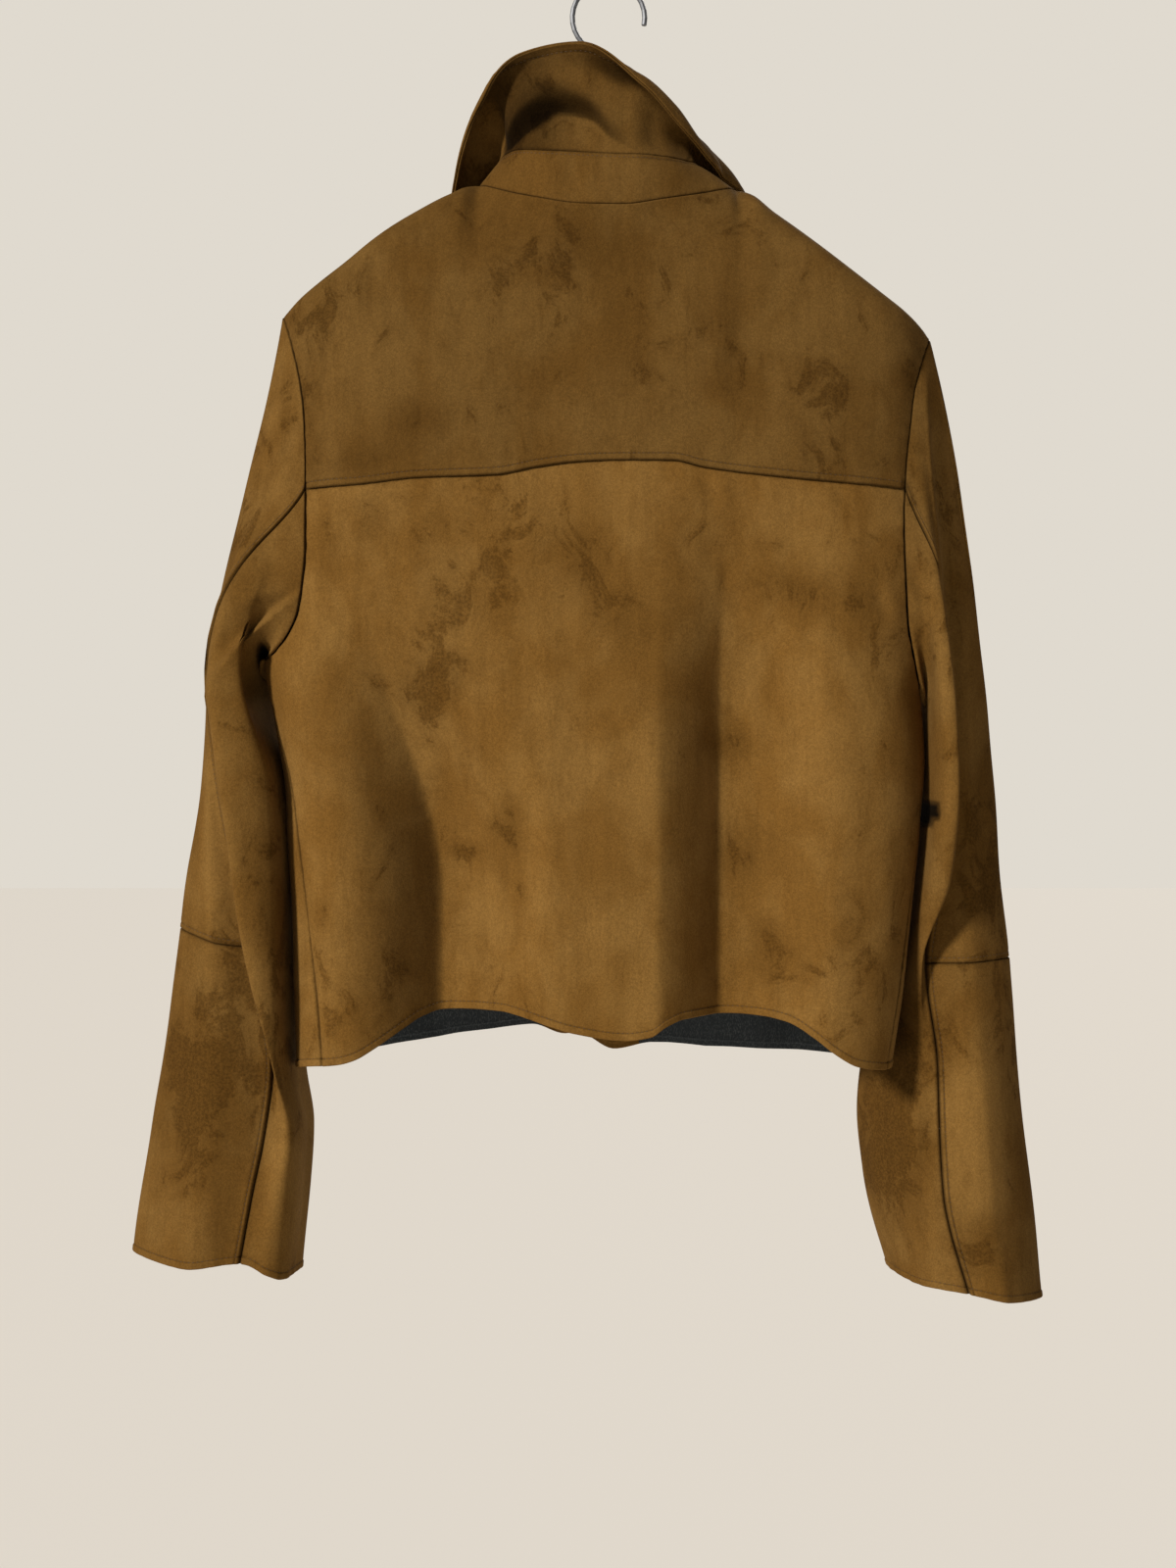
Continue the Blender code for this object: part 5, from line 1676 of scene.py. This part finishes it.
# the long fold down each sleeve: its place, its height, the drop beside it, and their widths
sleeveFolds = {
    "left": table(
        "z x high low near far",
        (-486, -274, 0.0, 0.0, 2.4, 14),
        (-468, -262, 1.0, 4.0, 2.4, 18),
        (-452, -250, 2.5, 7.0, 2.2, 19),
        (-438, -238, 3.2, 9.0, 2.0, 19),
        (-426, -226.5, 3.0, 8.0, 2.0, 18),
        (-415, -212, 2.2, 5.0, 2.0, 14),
        (-405, -198, 0.8, 1.5, 2.4, 8),
        (-396, -188, 0.0, 0.0, 2.4, 8),
    ),
    "right": table(
        "z x high low near far",
        (-620, 209, 0.0, 0.0, 3, 12),
        (-558, 225.5, 0.8, 0.0, 3, 14),
        (-538, 225.5, 1.2, 0.5, 3, 16),
        (-467, 222.3, 2.5, 4.0, 3, 18),
        (-396, 218, 3.2, 8.0, 2.6, 24),
        (-357, 214, 3.2, 9.0, 2.6, 24),
        (-327, 211, 2.8, 7.5, 2.6, 22),
        (-289, 209, 2.0, 5.0, 2.6, 18),
        (-255, 209.5, 0.0, 0.0, 3, 10),
    ),
}
foldSides = {"left": -1, "right": 1}
# some of these marks are painted shade and painted light: darker in the gaps beside the body and on the right
# sleeve's far side, lighter on the near folds
sleeveNapAndPaintedLight = {
    "left": table(
        "x z wide high turn dark",
        (-275, -735, 34, 60, 0, 1.6),
        (-262, -350, 14, 30, 20, 0.8),
        (-236, -395, 14, 24, -20, 0.7),
        (-214, -800, 14, 60, 0, -1.6),
        (-262, -560, 10, 60, 0, -1.6),
    ),
    "right": table(
        "x z wide high turn dark",
        (190, -770, 22, 60, 0, 2.4),
        (246, -760, 24, 60, 0, -1.8),
        (247, -830, 16, 22, 0, 1.4),
        (205, -700, 16, 26, 20, 1.6),
        (260, -560, 20, 90, 0, 1.6),
    ),
}
sleeveDents = {
    "left": table("x z wide high depth", (-228.5, -450, 4.5, 13, 10)),
    "right": table("x z wide high depth", (206.5, -549, 8, 8, 20)),
}


def edgePoint(edges, half, z):
    # points of a body's edge at some heights, on its back or its front half
    z = np.atleast_1d(z)
    return np.stack([column(edges, f"{half}_{axis}", z) for axis in "xy"] + [z], axis=-1)


def armholeLine(side):
    # the armhole from the underarm by the back and the shoulder and down the front
    edges = edgeLines[side]
    underarm, top = body["underarmZ"][side], edges["z"][-1]
    seam, shoulder = sleeve["backSeamShare"][0], sleeve["shoulderShare"]
    runs = (
        ("back", underarm, body["yokeZ"], (0, seam)),
        ("back", body["yokeZ"], top, (seam, shoulder)),
        ("front", top, underarm, (shoulder, 1)),
    )
    line, shares = [edgePoint(edges, "back", underarm)], [[0.0]]
    for (half, start, end, ends), count in zip(runs, sleeve["armholePoints"]):
        part = edgePoint(edges, half, np.linspace(start, end, count))
        line.append(part[1:])
        shares.append(shareByLength(part, ends)[1:])
    line, shares = np.concatenate(line), np.concatenate(shares)
    under = np.exp(-((np.minimum(shares, 1 - shares) / sleeve["underarmWide"]) ** 2))
    line[:, 0] += sides[side] * (cloth["between"] - sleeve["underarmIn"] * under)
    return shares, line


def sleevePanel(side, kind, share, level, line, seed, seams, cuff):
    # a panel on the sleeve's surface: edges rolled in, lapped or tucked at the back seam, and its
    # folds and dents pressed forward
    flip = side == "right"
    points = sleeveSurface(side, share, level, line)
    normals = surfaceNormals(points, flip)
    away = edgeDistances(points)
    run, down = runLength(points, 1), runLength(points, 0)
    isUnder = kind == "undersleeve"
    behind, inFront = ("last", "first") if isUnder else ("first", "last")
    inward = rolledIn(away[behind], sleeveDetail["backRoll"]) + rolledIn(away[inFront], sleeveDetail["roll"])
    paintedShade = paintedSeamShade(away[behind], *sleeveDetail["backShade"]) + paintedSeamShade(away[inFront])
    groove = 0 if isUnder else grooveAt(away[behind], sleeveDetail["seamStitch"])
    for seam in seams:
        inward = inward + rolledIn(away[seam], sleeveDetail["roll"])
        inward = inward + puckersAlong(run, away[seam], seed + 1)
        paintedShade = paintedShade + paintedSeamShade(away[seam])
    if kind == "sleeve":
        groove = np.maximum(groove, grooveAt(away["top"], sleeveDetail["seamStitch"]))
    if cuff:
        inward = inward - hemLift(away[cuff]) + puckersAlong(run, away[cuff], seed + 2)
        groove = np.maximum(groove, grooveAt(away[cuff], sleeveDetail["cuffStitch"]))
    inward = inward + seamLook["grooveDeep"] * groove
    paintedShade = paintedShade + seamLook["grooveShade"] * groove
    beside = np.minimum(away["first"], away["last"])
    inward = inward + puckersAlong(down, beside, seed + 3, *sleeveDetail["sideGather"])
    inward = inward + sleeveDetail["billow"] * billows(points, seed, sleeveDetail["billowSize"])
    ends, over = sleeveDetail["tuckEnds" if isUnder else "lapEnds"]
    lapped = ease((ends - away[behind]) / over)
    if isUnder:
        inward = inward + sleeveDetail["tuck"] * lapped
    else:
        inward = inward - sleeveDetail["lap"] * lapped * ease(away[behind] / sleeveDetail["lapEdge"])
    hollow = dents(points, normals, sleeveDents[side])
    outer = points - normals * inward[..., None]
    outer[..., 1] = outer[..., 1] + foldLine(points, normals, sleeveFolds[side], foldSides[side]) + hollow
    napAndPaintedLight = napMarksAndPaintedLight(points, sleeveNapAndPaintedLight[side])
    # painted shade deep in the dents
    deep = sleeveDetail["deep"] * ease((hollow - sleeveDetail["deepFrom"]) / sleeveDetail["deepOver"])
    paintedShade = np.clip(np.clip(paintedShade, 0, 1) + deep, 0, 2)
    piece = clothShell(
        f"{kind}{side.title()}Cloth", f"{kind}_{side}", outer, normals, cloth["outer"], suedeSleeve, flip,
        napAndPaintedLight=napAndPaintedLight, paintedShade=paintedShade,
    )
    return (outer, normals), away


def sharesAcross(first, middle, last, t, split):
    # straight from the first share to the middle one, reached at the split, and on to the last, so
    # that one column lies along the middle one
    return np.where(t <= split, mix(first, middle, t / split), mix(middle, last, (t - split) / (1 - split)))


def makeSleeve(side):
    # upper sleeve down to the elbow seam, forearm below it, and undersleeve from armhole to cuff
    title = side.title()
    line = armholeLine(side)
    step = sleeveDetail["step"]
    seamStitch, cuffStitch = sleeveDetail["seamStitch"], sleeveDetail["cuffStitch"]
    frontSeam, backSeam = sleeve["frontSeamShare"], sleeve["backSeamShare"][1]
    shoulder = sleeve["shoulderShare"]
    far = closeAtEnds(sleeveDetail["round"], step)
    over = far[np.abs(far - sleeveDetail["shoulderAt"]).argmin()]
    under = far[np.abs(far - sleeveDetail["underarmAt"]).argmin()]
    elbow = elbowLevel(side, sharesAcross(backSeam, shoulder, frontSeam, far, over))[None, :]

    level = closeAtEnds(sleeveDetail["upper"], step)[:, None] * elbow
    share = sharesAcross(backSeamShare(level), shoulder, frontSeam, far[None, :], over)
    grids, away = sleevePanel(
        side, "sleeve", share, level, line, 61, ("bottom", "top"), None
    )
    stitchesAlong(f"sleeve{title}CapStitches", grids, away["first"], seamStitch, 1, 62)
    stitchesAlong(f"sleeve{title}ElbowStitches", grids, away["top"], seamStitch, 0, 63)

    level = mix(elbow, 2.0, closeAtEnds(sleeveDetail["lower"], step)[:, None])
    share = sharesAcross(backSeamShare(level), shoulder, frontSeam, far[None, :], over)
    grids, away = sleevePanel(
        side, "forearm", share, level, line, 71, ("bottom",), "top"
    )
    stitchesAlong(f"forearm{title}SeamStitches", grids, away["first"], seamStitch, 1, 72)
    stitchesAlong(f"forearm{title}CuffStitches", grids, away["top"], cuffStitch, 0, 73)

    rows = closeAtEnds(sleeveDetail["whole"], step)[:, None]
    elbow = mix(*elbowLevel(side, np.array([frontSeam, backSeam])), far)[None, :]
    level = np.where(rows < 0.5, rows * 2 * elbow, mix(elbow, 2.0, rows * 2 - 1))
    share = sharesAcross(frontSeam - 1, 0.0, backSeamShare(level), far[None, :], under)
    grids, away = sleevePanel(
        side, "undersleeve", share, level, line, 81, ("bottom",), "top"
    )
    stitchesAlong(f"undersleeve{title}CuffStitches", grids, away["top"], cuffStitch, 0, 82)


for side in sides:
    makeSleeve(side)
print("sleeves made")

# hanger

for name, finish in (("hanger_bar", blackBar), ("hanger_hook", greyWire)):
    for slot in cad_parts[name].material_slots:
        slot.material = finish
print("hanger finished")

# floor, light and camera

# the camera stands level with the picture's middle; the picture is so many pixels high, each so many
# millimetres at the hanger
view = {"x": -0.01365, "y": -1.15, "z": -0.5305, "pixelsHigh": 1600, "pixel": 0.65}

studio = {
    "roomColour": (0.80, 0.78, 0.76),
    "roomLight": 0.15,
    "wallColour": (0.745, 0.70, 0.625),
    "floorColour": (0.84, 0.80, 0.75),
    "floorRoughness": 0.9,
    "floorZ": -2.4,
    "floorHalf": 30.0,
}
# degrees to the left of the camera and above the level, power, spread in degrees, colour
suns = {
    "window": (44, 26, 3.9, 8, (1.0, 0.96, 0.88)),
    "behind": (200, 35, 1.2, 20, (1.0, 0.96, 0.90)),
}


def addFloor():
    # one wide level square far below
    made, _, shader = newMaterial("paleFloor")
    shader.inputs["Base Color"].default_value = (*studio["floorColour"], 1.0)
    shader.inputs["Roughness"].default_value = studio["floorRoughness"]
    mesh = bpy.data.meshes.new("floor")
    z, half = studio["floorZ"], studio["floorHalf"]
    corners = [(-half, -half, z), (half, -half, z), (half, half, z), (-half, half, z)]
    mesh.from_pydata(corners, [], [(0, 1, 2, 3)])
    mesh.materials.append(made)
    floor = bpy.data.objects.new("floor", mesh)
    bpy.context.scene.collection.objects.link(floor)


def addSun(name, left, high, power, spread, colour):
    # level light turned up to its height, then round to its side
    light = bpy.data.lights.new(name, "SUN")
    light.energy = power
    light.angle = math.radians(spread)
    light.color = colour
    lamp = bpy.data.objects.new(name, light)
    lamp.rotation_euler = (math.radians(90 - high), 0.0, math.radians(-left))
    bpy.context.scene.collection.objects.link(lamp)


def addWorld():
    # the room's dim light, and the pale tone that is seen behind the jacket
    world = bpy.data.worlds.new("paleRoom")
    world.use_nodes = True
    tree = world.node_tree
    room = tree.nodes["Background"]
    room.inputs["Color"].default_value = (*studio["roomColour"], 1.0)
    room.inputs["Strength"].default_value = studio["roomLight"]
    wall = addNode(tree, "ShaderNodeBackground", Strength=1.0)
    wall.inputs["Color"].default_value = (*studio["wallColour"], 1.0)
    seen = addNode(tree, "ShaderNodeLightPath").outputs["Is Camera Ray"]
    both = addNode(tree, "ShaderNodeMixShader")
    tree.links.new(seen, both.inputs[0])
    tree.links.new(room.outputs[0], both.inputs[1])
    tree.links.new(wall.outputs[0], both.inputs[2])
    tree.links.new(both.outputs[0], tree.nodes["World Output"].inputs["Surface"])
    bpy.context.scene.world = world
    bpy.context.scene.view_settings.view_transform = "Standard"


def addCamera():
    # upright angle: twice the arctangent of half the picture's height over the distance
    lens = bpy.data.cameras.new("photoView")
    lens.sensor_fit = "VERTICAL"
    lens.angle = 2 * math.atan(view["pixelsHigh"] * view["pixel"] * mm / 2 / -view["y"])
    camera = bpy.data.objects.new("photoView", lens)
    camera.location = (view["x"], view["y"], view["z"])
    camera.rotation_euler = (math.pi / 2, 0, 0)
    bpy.context.scene.collection.objects.link(camera)
    bpy.context.scene.camera = camera


addFloor()
for name, values in suns.items():
    addSun(name, *values)
addWorld()
addCamera()
print("floor, light and camera set")
